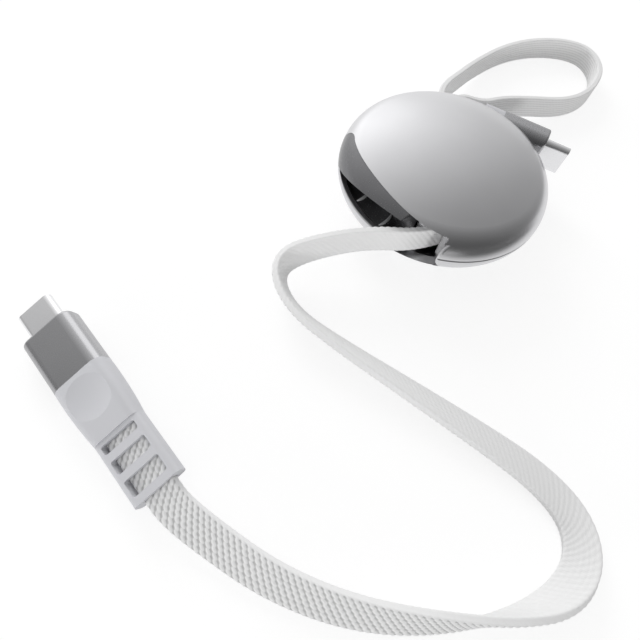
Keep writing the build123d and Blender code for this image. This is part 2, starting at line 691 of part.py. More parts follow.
with BuildPart() as centre_screw:
    with BuildSketch(Plane.XY.offset(SCREW_HEAD_TOP)):
        Circle(SCREW_HEAD_RADIUS)
    extrude(amount=-SCREW_HEAD_HEIGHT)
    with BuildSketch(Plane.XY.offset(SCREW_HEAD_TOP)):
        Circle(SCREW_RADIUS)
    extrude(amount=SCREW_END - SCREW_HEAD_TOP)
    with BuildSketch(Plane.XY.offset(SCREW_HEAD_TOP - SCREW_HEAD_HEIGHT)):
        Rectangle(2 * SCREW_RADIUS + SCREW_SLOT_WIDTH, SCREW_SLOT_WIDTH)
        Rectangle(SCREW_SLOT_WIDTH, 2 * SCREW_RADIUS + SCREW_SLOT_WIDTH)
    extrude(amount=SCREW_SLOT_DEPTH, mode=Mode.SUBTRACT)
write(centre_screw, "centre_screw")

with BuildPart() as reel_axle:
    with BuildSketch(Plane.XY.offset(AXLE_BASE)):
        Circle(AXLE_SHOULDER_RADIUS)
    extrude(amount=REEL_BOTTOM - RUNNING_GAP - AXLE_BASE)
    with BuildSketch(Plane.XY.offset(AXLE_BASE)):
        Circle(AXLE_RADIUS)
    extrude(amount=AXLE_TOP - AXLE_BASE)
    with BuildSketch(Plane.XY.offset(AXLE_TOP)):
        Circle(AXLE_SPIGOT_RADIUS)
    extrude(amount=AXLE_SPIGOT_LENGTH)
    with BuildSketch(Plane.XY.offset(RING_BOTTOM)):
        Circle(AXLE_RADIUS)
        Circle(AXLE_RADIUS - RING_GROOVE_DEPTH, mode=Mode.SUBTRACT)
    extrude(amount=RING_THICKNESS + RUNNING_GAP, mode=Mode.SUBTRACT)
    with BuildSketch(Plane.XY.offset(AXLE_BASE)):
        Circle(SCREW_RADIUS + SLIP_GAP)
    extrude(amount=TALL, mode=Mode.SUBTRACT)
write(reel_axle, "reel_axle")

with BuildPart() as retaining_ring:
    with BuildSketch(Plane.XY.offset(RING_BOTTOM)):
        Circle(RING_RADIUS)
        Circle(AXLE_RADIUS - RING_GROOVE_DEPTH + RUNNING_GAP, mode=Mode.SUBTRACT)
        with Locations((RING_RADIUS, 0)):
            Rectangle(2 * RING_RADIUS, RING_MOUTH, mode=Mode.SUBTRACT)
    extrude(amount=RING_THICKNESS)
write(retaining_ring, "retaining_ring")

with BuildPart() as reel_drum:
    with BuildSketch(Plane.XY.offset(REEL_BOTTOM)):
        Circle(FLANGE_RADIUS)
        Circle(AXLE_RADIUS + RUNNING_GAP, mode=Mode.SUBTRACT)
        with PolarLocations(FLANGE_RADIUS, NOTCH_COUNT, start_angle=notch_azimuth):
            Rectangle(2 * NOTCH_DEPTH, NOTCH_WIDTH, mode=Mode.SUBTRACT)
    extrude(amount=FLANGE_THICKNESS)
    with BuildSketch(Plane.XY.offset(REEL_BOTTOM + FLANGE_THICKNESS)):
        Circle(DRUM_RADIUS)
        Circle(DRUM_RADIUS - DRUM_WALL, mode=Mode.SUBTRACT)
    extrude(amount=2 * FLANGE_INSIDE)
write(reel_drum, "reel_drum")

with BuildPart() as reel_cover:
    with BuildSketch(Plane.XY.offset(MID + FLANGE_INSIDE)):
        Circle(FLANGE_RADIUS)
    extrude(amount=FLANGE_THICKNESS)
    with BuildSketch(Plane.XY.offset(MID + FLANGE_INSIDE)):
        Circle(DRUM_RADIUS - DRUM_WALL - RUNNING_GAP)
    extrude(amount=-COVER_SPIGOT)
    with BuildSketch(Plane.XY.offset(REEL_TOP)):
        Circle(AXLE_RADIUS + RUNNING_GAP)
    extrude(amount=-FLANGE_THICKNESS - COVER_SPIGOT, mode=Mode.SUBTRACT)
write(reel_cover, "reel_cover")

with BuildPart() as wound_ribbon:
    with BuildSketch(Plane.XY.offset(MID - RIBBON_WIDTH / 2)):
        Circle(ROLL_RADIUS)
        Circle(DRUM_RADIUS, mode=Mode.SUBTRACT)
    extrude(amount=RIBBON_WIDTH)
write(wound_ribbon, "wound_ribbon")

with BuildPart() as mainspring:
    spring_start = AXLE_RADIUS + SLIP_GAP + SPRING_STRIP / 2
    spring_bottom = REEL_BOTTOM + FLANGE_THICKNESS + SLIP_GAP
    spring_top = MID + FLANGE_INSIDE - COVER_SPIGOT - SLIP_GAP
    spring_shift = SPRING_PITCH / 2
    with BuildSketch(Plane.XY.offset(spring_bottom)):
        with BuildLine():
            for side in (-SPRING_STRIP / 2, SPRING_STRIP / 2):
                for turn in range(SPRING_TURNS):
                    radius = spring_start + turn * SPRING_PITCH + side
                    CenterArc((0, 0), radius, 0, 180)
                    CenterArc((spring_shift, 0), radius + spring_shift, 180, 180)
            Line((spring_start - SPRING_STRIP / 2, 0), (spring_start + SPRING_STRIP / 2, 0))
            spring_finish = spring_start + SPRING_TURNS * SPRING_PITCH
            Line((spring_finish - SPRING_STRIP / 2, 0), (spring_finish + SPRING_STRIP / 2, 0))
        make_face()
    extrude(amount=spring_top - spring_bottom)
write(mainspring, "mainspring")

with BuildPart() as ratchet_pawl:
    with BuildSketch(Plane.XY.offset(PAWL_BOTTOM)):
        with Locations((pawl_pivot.X, pawl_pivot.Y), (pawl_nose.X, pawl_nose.Y)):
            Circle(PAWL_NOSE_RADIUS)
        make_hull()
        with Locations((pawl_pivot.X, pawl_pivot.Y)):
            Circle(PAWL_HUB_RADIUS)
            Circle(PAWL_PIN_RADIUS + RUNNING_GAP, mode=Mode.SUBTRACT)
    extrude(amount=PAWL_THICKNESS)
write(ratchet_pawl, "ratchet_pawl")

with BuildPart() as pawl_pin:
    with BuildSketch(Plane.XY.offset(PAWL_BOTTOM - PAWL_PIN_SEAT)):
        with Locations((pawl_pivot.X, pawl_pivot.Y)):
            Circle(PAWL_PIN_RADIUS)
    extrude(amount=PAWL_PIN_SEAT + PAWL_THICKNESS + RUNNING_GAP)
    with BuildSketch(Plane.XY.offset(PAWL_TOP + RUNNING_GAP)):
        with Locations((pawl_pivot.X, pawl_pivot.Y)):
            Circle(PAWL_HEAD_RADIUS)
    extrude(amount=PAWL_HEAD_HEIGHT)
write(pawl_pin, "pawl_pin")

with BuildPart() as guide_roller_inner:
    with Locations((inner_roller.X, inner_roller.Y, MID)):
        Cylinder(ROLLER_RADIUS, 2 * ROLLER_HALF_HEIGHT)
        Cylinder(ROLLER_PIN_RADIUS + RUNNING_GAP, 2 * ROLLER_HALF_HEIGHT, mode=Mode.SUBTRACT)
write(guide_roller_inner, "guide_roller_inner")

with BuildPart() as guide_roller_outer:
    with Locations((outer_roller.X, outer_roller.Y, MID)):
        Cylinder(ROLLER_RADIUS, 2 * ROLLER_HALF_HEIGHT)
        Cylinder(ROLLER_PIN_RADIUS + RUNNING_GAP, 2 * ROLLER_HALF_HEIGHT, mode=Mode.SUBTRACT)
write(guide_roller_outer, "guide_roller_outer")

with BuildPart() as roller_pin_inner:
    with Locations((inner_roller.X, inner_roller.Y, MID)):
        Cylinder(ROLLER_PIN_RADIUS, 2 * (ROLLER_HALF_HEIGHT + ROLLER_PIN_SEAT))
write(roller_pin_inner, "roller_pin_inner")

with BuildPart() as roller_pin_outer:
    with Locations((outer_roller.X, outer_roller.Y, MID)):
        Cylinder(ROLLER_PIN_RADIUS, 2 * (ROLLER_HALF_HEIGHT + ROLLER_PIN_SEAT))
write(roller_pin_outer, "roller_pin_outer")

with BuildPart() as slip_ring_board:
    with BuildSketch(Plane.XY.offset(BOARD_BOTTOM)):
        Circle(BOARD_RADIUS)
        Circle(AXLE_SHOULDER_RADIUS + SLIP_GAP, mode=Mode.SUBTRACT)
    extrude(amount=BOARD_THICKNESS)
write(slip_ring_board, "slip_ring_board")

with BuildPart() as slip_rings:
    with BuildSketch(Plane.XY.offset(BOARD_TOP)):
        for index in reversed(range(SLIP_RING_COUNT)):
            radius = SLIP_RING_FIRST + index * SLIP_RING_STEP
            Circle(radius + SLIP_RING_WIDTH / 2)
            Circle(radius - SLIP_RING_WIDTH / 2, mode=Mode.SUBTRACT)
    extrude(amount=SLIP_RING_HEIGHT)
write(slip_rings, "slip_rings")

# The brushes stand on a plane whose x runs outwards and whose y runs along the turn
carrier_start = SLIP_RING_FIRST - SLIP_RING_WIDTH
carrier_end = SLIP_RING_FIRST + (SLIP_RING_COUNT - 1) * SLIP_RING_STEP + SLIP_RING_WIDTH
carrier_plane = Plane(origin=(0, 0, REEL_BOTTOM), x_dir=direction(CARRIER_AZIMUTH), z_dir=(0, 0, 1))

with BuildPart() as brush_carrier:
    with BuildSketch(carrier_plane):
        with Locations(((carrier_start + carrier_end) / 2, 0)):
            RectangleRounded(carrier_end - carrier_start, CARRIER_WIDTH, FINGER_WIDTH)
    extrude(amount=-CARRIER_HEIGHT)
write(brush_carrier, "brush_carrier")

with BuildPart() as brush_fingers:
    finger_drop = BOARD_DROP - CARRIER_HEIGHT - SLIP_RING_HEIGHT - RUNNING_GAP
    finger_half = CARRIER_WIDTH / 2 - FINGER_LEAF
    for index in range(SLIP_RING_COUNT):
        outer_edge = SLIP_RING_FIRST + index * SLIP_RING_STEP + FINGER_WIDTH / 2
        finger_origin = around(outer_edge, CARRIER_AZIMUTH, REEL_BOTTOM - CARRIER_HEIGHT)
        finger_side = direction(CARRIER_AZIMUTH + 90)
        with BuildSketch(Plane(finger_origin, x_dir=finger_side, z_dir=carrier_plane.x_dir)):
            with BuildLine():
                Polyline(
                    (-finger_half, 0),
                    (-finger_half + 2 * FINGER_LEAF, 0),
                    (finger_half - FINGER_LEAF, FINGER_LEAF - finger_drop),
                    (finger_half, FINGER_LEAF - finger_drop),
                    (finger_half, -finger_drop),
                    (finger_half - 2 * FINGER_LEAF, -finger_drop),
                    close=True,
                )
            make_face()
        extrude(amount=-FINGER_WIDTH)
write(brush_fingers, "brush_fingers")

with BuildPart() as rear_flex:
    flex_z = BOARD_TOP + FLEX_THICKNESS / 2
    with BuildSketch(flex_plane):
        with BuildLine():
            FilletPolyline(
                (FLEX_START, flex_z),
                (FLEX_BEND, flex_z),
                (FLEX_WALL, MID - FLEX_FOOT_DROP),
                (FLEX_WALL, MID + FLEX_TOP_RISE),
                radius=FLEX_BEND_RADIUS,
            )
        trace(line_width=FLEX_THICKNESS)
    extrude(amount=-FLEX_WIDTH)
write(rear_flex, "rear_flex")

with BuildPart() as strap_pin:
    with Locations(strap_pin_at):
        Cylinder(STRAP_PIN_RADIUS, 2 * STRAP_PIN_HALF_LENGTH)
write(strap_pin, "strap_pin")

with BuildPart() as wrist_strap:
    strap_left = strap_pin_at - strap_side * STRAP_BIGHT
    strap_right = strap_pin_at + strap_side * STRAP_BIGHT
    strap_ends = [
        (point.X, point.Y)
        for point in (
            strap_left,
            strap_left + strap_out * STRAP_STRAIGHT,
            strap_right + strap_out * STRAP_STRAIGHT,
            strap_right,
        )
    ]
    strap_points = (*strap_ends[:2], *STRAP_ROUTE, *strap_ends[2:])
    add(standing_band(strap_points, STRAP_THICKNESS, STRAP_WIDTH, STRAP_DROP, STRAP_WIDTH / 2))
    # Half a turn round the pin
    with BuildSketch(Plane(strap_pin_at, x_dir=strap_side, z_dir=(0, 0, 1)).offset(-STRAP_WIDTH / 2)):
        Circle(STRAP_BIGHT + STRAP_THICKNESS / 2)
        Circle(STRAP_BIGHT - STRAP_THICKNESS / 2, mode=Mode.SUBTRACT)
        with Locations((0, 2 * STRAP_BIGHT)):
            Rectangle(4 * STRAP_BIGHT, 4 * STRAP_BIGHT, mode=Mode.SUBTRACT)
    extrude(amount=STRAP_WIDTH)
write(wrist_strap, "wrist_strap")

with BuildPart() as pulled_ribbon:
    twist_start = ladder_end - front_forward * TWIST_LENGTH
    ribbon_ends = [(point.X, point.Y) for point in (lead_start, exit_corner, twist_start)]
    ribbon_points = (*ribbon_ends[:2], *RIBBON_ROUTE, ribbon_ends[2])
    add(standing_band(ribbon_points, RIBBON_THICKNESS, RIBBON_WIDTH, RIBBON_DROP, RIBBON_WIDTH / 2))
    # A twist from standing to the plug's roll, then straight through the strain relief
    for step in range(TWIST_STEPS + 1):
        share = step / TWIST_STEPS
        turn = math.radians(90 * (1 - share) + FRONT_PLUG_ROLL * share)
        section_z = RIBBON_WIDTH / 2 * (1 - share) + front_tail.Z * share
        section_at = twist_start + front_forward * (TWIST_LENGTH * share)
        section_origin = (section_at.X, section_at.Y, section_z)
        section_x = front_right * math.cos(turn) + Vector(0, 0, math.sin(turn))
        with BuildSketch(Plane(section_origin, x_dir=section_x, z_dir=front_forward)):
            Rectangle(RIBBON_WIDTH, RIBBON_THICKNESS)
    loft()
    with BuildSketch(front_plane):
        Rectangle(RIBBON_WIDTH, RIBBON_THICKNESS)
    extrude(amount=-LADDER_LENGTH)
write(pulled_ribbon, "pulled_ribbon")

front_plug_shell = plug_shell(front_barrel_plane)
write(front_plug_shell, "front_plug_shell")

front_plug_insert = plug_insert(front_barrel_plane)
write(front_plug_insert, "front_plug_insert")

front_plug_barrel = plug_barrel(front_barrel_plane)
write(front_plug_barrel, "front_plug_barrel")

with BuildPart() as front_plug_relief:
    # Grip: full at the barrel and slimmer towards its tail
    with BuildSketch(front_plane):
        RectangleRounded(GRIP_TAIL_WIDTH, GRIP_TAIL_THICKNESS, GRIP_TAIL_CORNER)
    with BuildSketch(front_plane.offset(GRIP_WAIST_AT)):
        RectangleRounded(GRIP_WAIST_WIDTH, GRIP_WAIST_THICKNESS, (GRIP_TAIL_CORNER + BARREL_CORNER) / 2)
    with BuildSketch(front_barrel_plane):
        RectangleRounded(BARREL_WIDTH, BARREL_THICKNESS, BARREL_CORNER)
    loft()
    # Thumb dimples above and below
    dimple_sphere = (DIMPLE_RADIUS**2 + DIMPLE_DEPTH**2) / (2 * DIMPLE_DEPTH)
    dimple_height = BARREL_THICKNESS / 2 - DIMPLE_DEPTH + dimple_sphere
    dimple_at = front_tail + front_forward * (GRIP_LENGTH - DIMPLE_BACK)
    with Locations(dimple_at + front_up * dimple_height, dimple_at - front_up * dimple_height):
        Sphere(dimple_sphere, mode=Mode.SUBTRACT)
    # Ladder: a sleeve with windows that grow longer towards the cable
    with BuildSketch(front_plane):
        RectangleRounded(LADDER_WIDTH, LADDER_THICKNESS, LADDER_CORNER)
    extrude(amount=-LADDER_LENGTH)
    with BuildSketch(front_plane):
        Rectangle(RIBBON_WIDTH + 2 * RIBBON_HOLE_GAP, RIBBON_THICKNESS + 2 * RIBBON_HOLE_GAP)
    extrude(amount=-LADDER_LENGTH, mode=Mode.SUBTRACT)
    window_start = LADDER_FIRST_BAR
    for length in WINDOW_LENGTHS:
        with BuildSketch(front_top_plane):
            with Locations((-window_start - length / 2, 0)):
                RectangleRounded(length, WINDOW_WIDTH, WINDOW_CORNER)
        extrude(amount=LADDER_THICKNESS, both=True, mode=Mode.SUBTRACT)
        window_start += length + LADDER_BAR
write(front_plug_relief, "front_plug_relief")

rear_plug_shell = plug_shell(rear_barrel_plane)
write(rear_plug_shell, "rear_plug_shell")

rear_plug_insert = plug_insert(rear_barrel_plane)
write(rear_plug_insert, "rear_plug_insert")

rear_plug_barrel = plug_barrel(rear_barrel_plane)
write(rear_plug_barrel, "rear_plug_barrel")

with BuildPart() as rear_plug_boot:
    with BuildSketch(rear_plane):
        RectangleRounded(BOOT_WIDTH, BOOT_THICKNESS, BOOT_CORNER)
    extrude(amount=BOOT_LENGTH)
write(rear_plug_boot, "rear_plug_boot")
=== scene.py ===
"""Looks of a retractable charging cable: finishes, the braided ribbon, the wrist strap and the studio."""

import bisect
import logging
import math
from dataclasses import dataclass, field
from enum import Enum

import bmesh
import bpy
from mathutils import Matrix, Vector


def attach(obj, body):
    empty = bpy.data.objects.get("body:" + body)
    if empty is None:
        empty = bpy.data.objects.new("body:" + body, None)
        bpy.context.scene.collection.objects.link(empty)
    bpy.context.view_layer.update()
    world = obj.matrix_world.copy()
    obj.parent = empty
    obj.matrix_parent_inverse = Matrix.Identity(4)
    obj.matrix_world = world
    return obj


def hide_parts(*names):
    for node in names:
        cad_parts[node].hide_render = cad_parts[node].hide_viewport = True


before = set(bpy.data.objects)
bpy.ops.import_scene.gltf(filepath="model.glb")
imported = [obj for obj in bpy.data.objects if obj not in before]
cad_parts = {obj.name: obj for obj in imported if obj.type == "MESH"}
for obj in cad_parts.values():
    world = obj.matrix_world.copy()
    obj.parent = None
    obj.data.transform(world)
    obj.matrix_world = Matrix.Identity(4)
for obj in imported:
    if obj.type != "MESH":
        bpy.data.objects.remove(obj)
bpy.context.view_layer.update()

MM = 0.001
ROOT_BODY = "case"
LOG = logging.getLogger("charging_cable")

# Middle of the case's height, and of the front plug's, over the table, in millimetres
MID = 10.94
PLUG_MID = 4.54

# Spacing of a pattern of waves at a scale of one
WAVE_SPACING = math.tau / 20

# Sockets of a colour mix: its share, its two colours and its result
MIX_SHARE = 0
MIX_FIRST = 6
MIX_SECOND = 7
MIX_RESULT = 2

# A band's route: points between two stations, and the order of its curve
ROUTE_STEPS = 48
ROUTE_ORDER = 3

# How close two points of a band's seam, or of a bead's tip, lie to become one, in metres
SEAM_WELD = 1e-8
TIP_WELD = 1e-7


def linear(code: str) -> tuple[float, float, float, float]:
    """Turns an sRGB hex colour into a linear one.

    Args:
        code: The colour as #rrggbb.

    Returns:
        Red, green, blue and an alpha of one.
    """
    shares = [int(code[at : at + 2], 16) / 255 for at in (1, 3, 5)]
    red, green, blue = (s / 12.92 if s <= 0.04045 else ((s + 0.055) / 1.055) ** 2.4 for s in shares)
    return red, green, blue, 1.0


def add_node(
    tree: bpy.types.NodeTree,
    kind: str,
    settings: dict[str, object] | None = None,
    values: dict[str | int, object] | None = None,
    links: dict[str | int, bpy.types.NodeSocket] | None = None,
) -> bpy.types.Node:
    """Adds a node to a tree.

    Args:
        tree: The tree that gets the node.
        kind: The node's type.
        settings: The node's own settings, by name.
        values: Values of its input sockets, by name or place.
        links: Output sockets to link to its inputs, by name or place.

    Returns:
        The new node.
    """
    node = tree.nodes.new(kind)
    for name, value in (settings or {}).items():
        setattr(node, name, value)
    for key, value in (values or {}).items():
        node.inputs[key].default_value = value
    for key, socket in (links or {}).items():
        tree.links.new(socket, node.inputs[key])
    return node


def mix_tones(
    tree: bpy.types.NodeTree, share: bpy.types.NodeSocket, first: str, second: str
) -> bpy.types.NodeSocket:
    """Adds a mix of two colours to a tree.

    Args:
        tree: The tree that gets the mix.
        share: Share of the second colour.
        first: The first colour, as #rrggbb.
        second: The second colour, as #rrggbb.

    Returns:
        The mixed colour.
    """
    return add_node(
        tree,
        "ShaderNodeMix",
        {"data_type": "RGBA"},
        {MIX_FIRST: linear(first), MIX_SECOND: linear(second)},
        {MIX_SHARE: share},
    ).outputs[MIX_RESULT]


def add_bump(
    tree: bpy.types.NodeTree, height: bpy.types.NodeSocket, strength: float, depth: float
) -> bpy.types.NodeSocket:
    """Adds a bump to a tree.

    Args:
        tree: The tree that gets the bump.
        height: The pattern that it follows.
        strength: How strongly it shows, up to one.
        depth: Height of the pattern, in millimetres.

    Returns:
        The bumped normal.
    """
    return add_node(
        tree,
        "ShaderNodeBump",
        values={"Strength": strength, "Distance": depth * MM},
        links={"Height": height},
    ).outputs["Normal"]


def empty_material(name: str) -> bpy.types.Material:
    """Makes a material with an empty node tree.

    Args:
        name: Name of the material.

    Returns:
        The new material.
    """
    material = bpy.data.materials.new(name)
    material.use_nodes = True
    material.node_tree.nodes.clear()
    return material


def link_shape(name: str, shape: bmesh.types.BMesh) -> bpy.types.Object:
    """Turns a shape into an object of the scene.

    Args:
        name: Name of the object and of its mesh.
        shape: The shape, which is used up.

    Returns:
        The new object.
    """
    mesh = bpy.data.meshes.new(name)
    shape.to_mesh(mesh)
    shape.free()
    made = bpy.data.objects.new(name, mesh)
    bpy.context.scene.collection.objects.link(made)
    return made


class Surface(Enum):
    """How a surface was made, as the stretch of its grain along the three axes."""

    EVEN = (1.0, 1.0, 1.0)
    DRAWN = (1.0, 1.0, 0.08)


@dataclass(frozen=True)
class Finish:
    """One solid material with a fine grain, a slow change of tone and a bump.

    Attributes:
        name: What the material is and how its surface was made.
        slot: The record's slot that it belongs to; not used.
        tone: Its main colour.
        second_tone: The colour that it drifts towards.
        roughness: The lowest and the highest roughness.
        grain: Width of a grain, in millimetres.
        depth: Height of the grain, in millimetres.
        metallic: One for a metal.
        surface: How the surface was made.
        drift: Width of the slow change of tone, in millimetres.
        ior: Refractive index where it isn't a metal.
    """

    GRAIN_DETAIL = 2.0
    DRIFT_DETAIL = 3.0
    BUMP_STRENGTH = 0.35

    name: str
    slot: str
    tone: str
    second_tone: str
    roughness: tuple[float, float]
    grain: float
    depth: float
    metallic: float = 0.0
    surface: Surface = Surface.EVEN
    drift: float = 9.0
    ior: float = 1.5

    def build(self) -> bpy.types.Material:
        """Builds the material.

        Returns:
            The finished material.
        """
        material = empty_material(self.name)
        tree = material.node_tree
        place = add_node(tree, "ShaderNodeTexCoord").outputs["Object"]
        grain_place = add_node(
            tree, "ShaderNodeMapping", values={"Scale": self.surface.value}, links={"Vector": place}
        ).outputs["Vector"]
        grain = add_node(
            tree,
            "ShaderNodeTexNoise",
            values={"Scale": 1 / (self.grain * MM), "Detail": self.GRAIN_DETAIL},
            links={"Vector": grain_place},
        ).outputs["Fac"]
        slow = add_node(
            tree,
            "ShaderNodeTexNoise",
            values={"Scale": 1 / (self.drift * MM), "Detail": self.DRIFT_DETAIL},
            links={"Vector": place},
        ).outputs["Fac"]
        tone = mix_tones(tree, slow, self.tone, self.second_tone)
        gloss = add_node(
            tree,
            "ShaderNodeMapRange",
            values={"To Min": self.roughness[0], "To Max": self.roughness[1]},
            links={"Value": grain},
        ).outputs["Result"]
        bump = add_bump(tree, grain, self.BUMP_STRENGTH, self.depth)
        shader = add_node(
            tree,
            "ShaderNodeBsdfPrincipled",
            values={"Metallic": self.metallic},
            links={"Base Color": tone, "Roughness": gloss, "Normal": bump},
        )
        if self.metallic < 1.0:
            shader.inputs["IOR"].default_value = self.ior
        add_node(tree, "ShaderNodeOutputMaterial", links={"Surface": shader.outputs["BSDF"]})
        return material


@dataclass(frozen=True)
class BraidFinish:
    """Flat braid of bright polyester yarn, whose crests catch the light, with painted shade in the gaps
    between its grains.

    Attributes:
        name: What the material is.
        slot: The record's slot that it belongs to; not used.
        crest: Colour of the yarn on top.
        valley_shade: Painted shade in the gaps between the grains, darker than the yarn.
        filament: Spacing of the filaments in the yarn, in millimetres, coarser than real so that it shows.
        filament_slant: Angle of the filaments to the band's line, in degrees.
        depth: Height of a filament, in millimetres.
        roughness: Roughness of the yarn.
        sheen: Strength of the soft rim of loose fibres.
    """

    # Heights of a grain at which the painted shade of the gaps starts to fade and has given way to the
    # crest's colour
    SHADE_START = 0.08
    SHADE_STOP = 0.62
    FILAMENT_WANDER = 1.2
    FILAMENT_DETAIL = 1.0
    BUMP_STRENGTH = 0.4
    SHEEN_ROUGHNESS = 0.4

    name: str
    slot: str
    crest: str
    valley_shade: str
    filament: float = 0.3
    filament_slant: float = 52.0
    depth: float = 0.03
    roughness: float = 0.72
    sheen: float = 0.1

    def build(self) -> bpy.types.Material:
        """Builds the material from the weave's map, with its painted shade taken from the height of its
        grains.

        Returns:
            The finished material.
        """
        material = empty_material(self.name)
        tree = material.node_tree
        weave = add_node(tree, "ShaderNodeUVMap", {"uv_map": Band.WEAVE_MAP}).outputs["UV"]
        # The band's relief attribute is the mask of the painted shade: low in the gaps between the grains
        height = add_node(tree, "ShaderNodeAttribute", {"attribute_name": Band.RELIEF}).outputs["Fac"]
        slant = add_node(
            tree,
            "ShaderNodeMapping",
            values={"Rotation": (0.0, 0.0, math.radians(self.filament_slant))},
            links={"Vector": weave},
        ).outputs["Vector"]
        filaments = add_node(
            tree,
            "ShaderNodeTexWave",
            {"wave_type": "BANDS", "bands_direction": "X"},
            {
                "Scale": WAVE_SPACING / (self.filament * MM),
                "Distortion": self.FILAMENT_WANDER,
                "Detail": self.FILAMENT_DETAIL,
            },
            {"Vector": slant},
        ).outputs["Fac"]
        shade = add_node(
            tree,
            "ShaderNodeMapRange",
            {"interpolation_type": "SMOOTHSTEP"},
            {"From Min": self.SHADE_START, "From Max": self.SHADE_STOP},
            {"Value": height},
        ).outputs["Result"]
        # Painted shade: the gaps take the darker colour and the crests keep the yarn's own
        tone = mix_tones(tree, shade, self.valley_shade, self.crest)
        bump = add_bump(tree, filaments, self.BUMP_STRENGTH, self.depth)
        shader = add_node(
            tree,
            "ShaderNodeBsdfPrincipled",
            values={
                "Roughness": self.roughness,
                "Sheen Weight": self.sheen,
                "Sheen Roughness": self.SHEEN_ROUGHNESS,
            },
            links={"Base Color": tone, "Normal": bump},
        ).outputs["BSDF"]
        add_node(tree, "ShaderNodeOutputMaterial", links={"Surface": shader})
        return material


@dataclass(frozen=True)
class RollFinish:
    """The wound braid as seen on its edge: turns that lie one over the other.

    Attributes:
        name: What the material is.
        slot: The record's slot that it belongs to; not used.
        turn: Thickness of one turn, in millimetres.
        light: Colour of a turn.
        gap_shade: Painted shade between two turns.
        depth: Depth of the groove between two turns, in millimetres.
        roughness: Roughness of the yarn.
    """

    WANDER = 0.6
    BUMP_STRENGTH = 0.5

    name: str
    slot: str
    turn: float
    light: str
    gap_shade: str
    depth: float = 0.2
    roughness: float = 0.7

    def build(self) -> bpy.types.Material:
        """Builds the material with rings round the reel's axis.

        Returns:
            The finished material.
        """
        material = empty_material(self.name)
        tree = material.node_tree
        place = add_node(tree, "ShaderNodeTexCoord").outputs["Object"]
        rings = add_node(
            tree,
            "ShaderNodeTexWave",
            {"wave_type": "RINGS", "rings_direction": "Z"},
            {"Scale": WAVE_SPACING / (self.turn * MM), "Distortion": self.WANDER},
            {"Vector": place},
        ).outputs["Fac"]
        # Painted shade: the grooves between the turns take the darker colour
        tone = mix_tones(tree, rings, self.gap_shade, self.light)
        bump = add_bump(tree, rings, self.BUMP_STRENGTH, self.depth)
        shader = add_node(
            tree,
            "ShaderNodeBsdfPrincipled",
            values={"Roughness": self.roughness},
            links={"Base Color": tone, "Normal": bump},
        ).outputs["BSDF"]
        add_node(tree, "ShaderNodeOutputMaterial", links={"Surface": shader})
        return material


def dress(nodes: tuple[str, ...], finish: Finish | RollFinish) -> None:
    """Gives one finish to some of the frame's nodes.

    Args:
        nodes: Names of the nodes.
        finish: The finish that they share.
    """
    material = finish.build()
    for name in nodes:
        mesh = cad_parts[name].data
        mesh.materials.clear()
        mesh.materials.append(material)
        LOG.info("dressed %s in %s", name, finish.name)


@dataclass(frozen=True)
class Station:
    """One control point of a band's route, in millimetres, and the lean of the band there.

    Attributes:
        x: Place across.
        y: Place in depth.
        z: Height of the band's middle.
        lean: Turn of the band's upper edge to its right, in degrees, from standing upright.
    """

    x: float
    y: float
    z: float
    lean: float = 0.0

    def point(self) -> Vector:
        """Gives the place in metres."""
        return Vector((self.x, self.y, self.z)) * MM


def spline_points(points: list[Vector]) -> list[Vector]:
    """Reads the smooth line of a NURBS spline.

    Args:
        points: The spline's control points.

    Returns:
        Points along the spline, close together.
    """
    curve = bpy.data.curves.new("route", "CURVE")
    curve.dimensions = "3D"
    curve.resolution_u = ROUTE_STEPS
    spline = curve.splines.new("NURBS")
    spline.points.add(len(points) - 1)
    for target, point in zip(spline.points, points):
        target.co = (*point, 1.0)
    spline.order_u = ROUTE_ORDER
    spline.use_endpoint_u = True
    holder = bpy.data.objects.new("route", curve)
    mesh = bpy.data.meshes.new_from_object(holder)
    line = [vertex.co.copy() for vertex in mesh.vertices]
    bpy.data.meshes.remove(mesh)
    bpy.data.objects.remove(holder)
    bpy.data.curves.remove(curve)
    return line


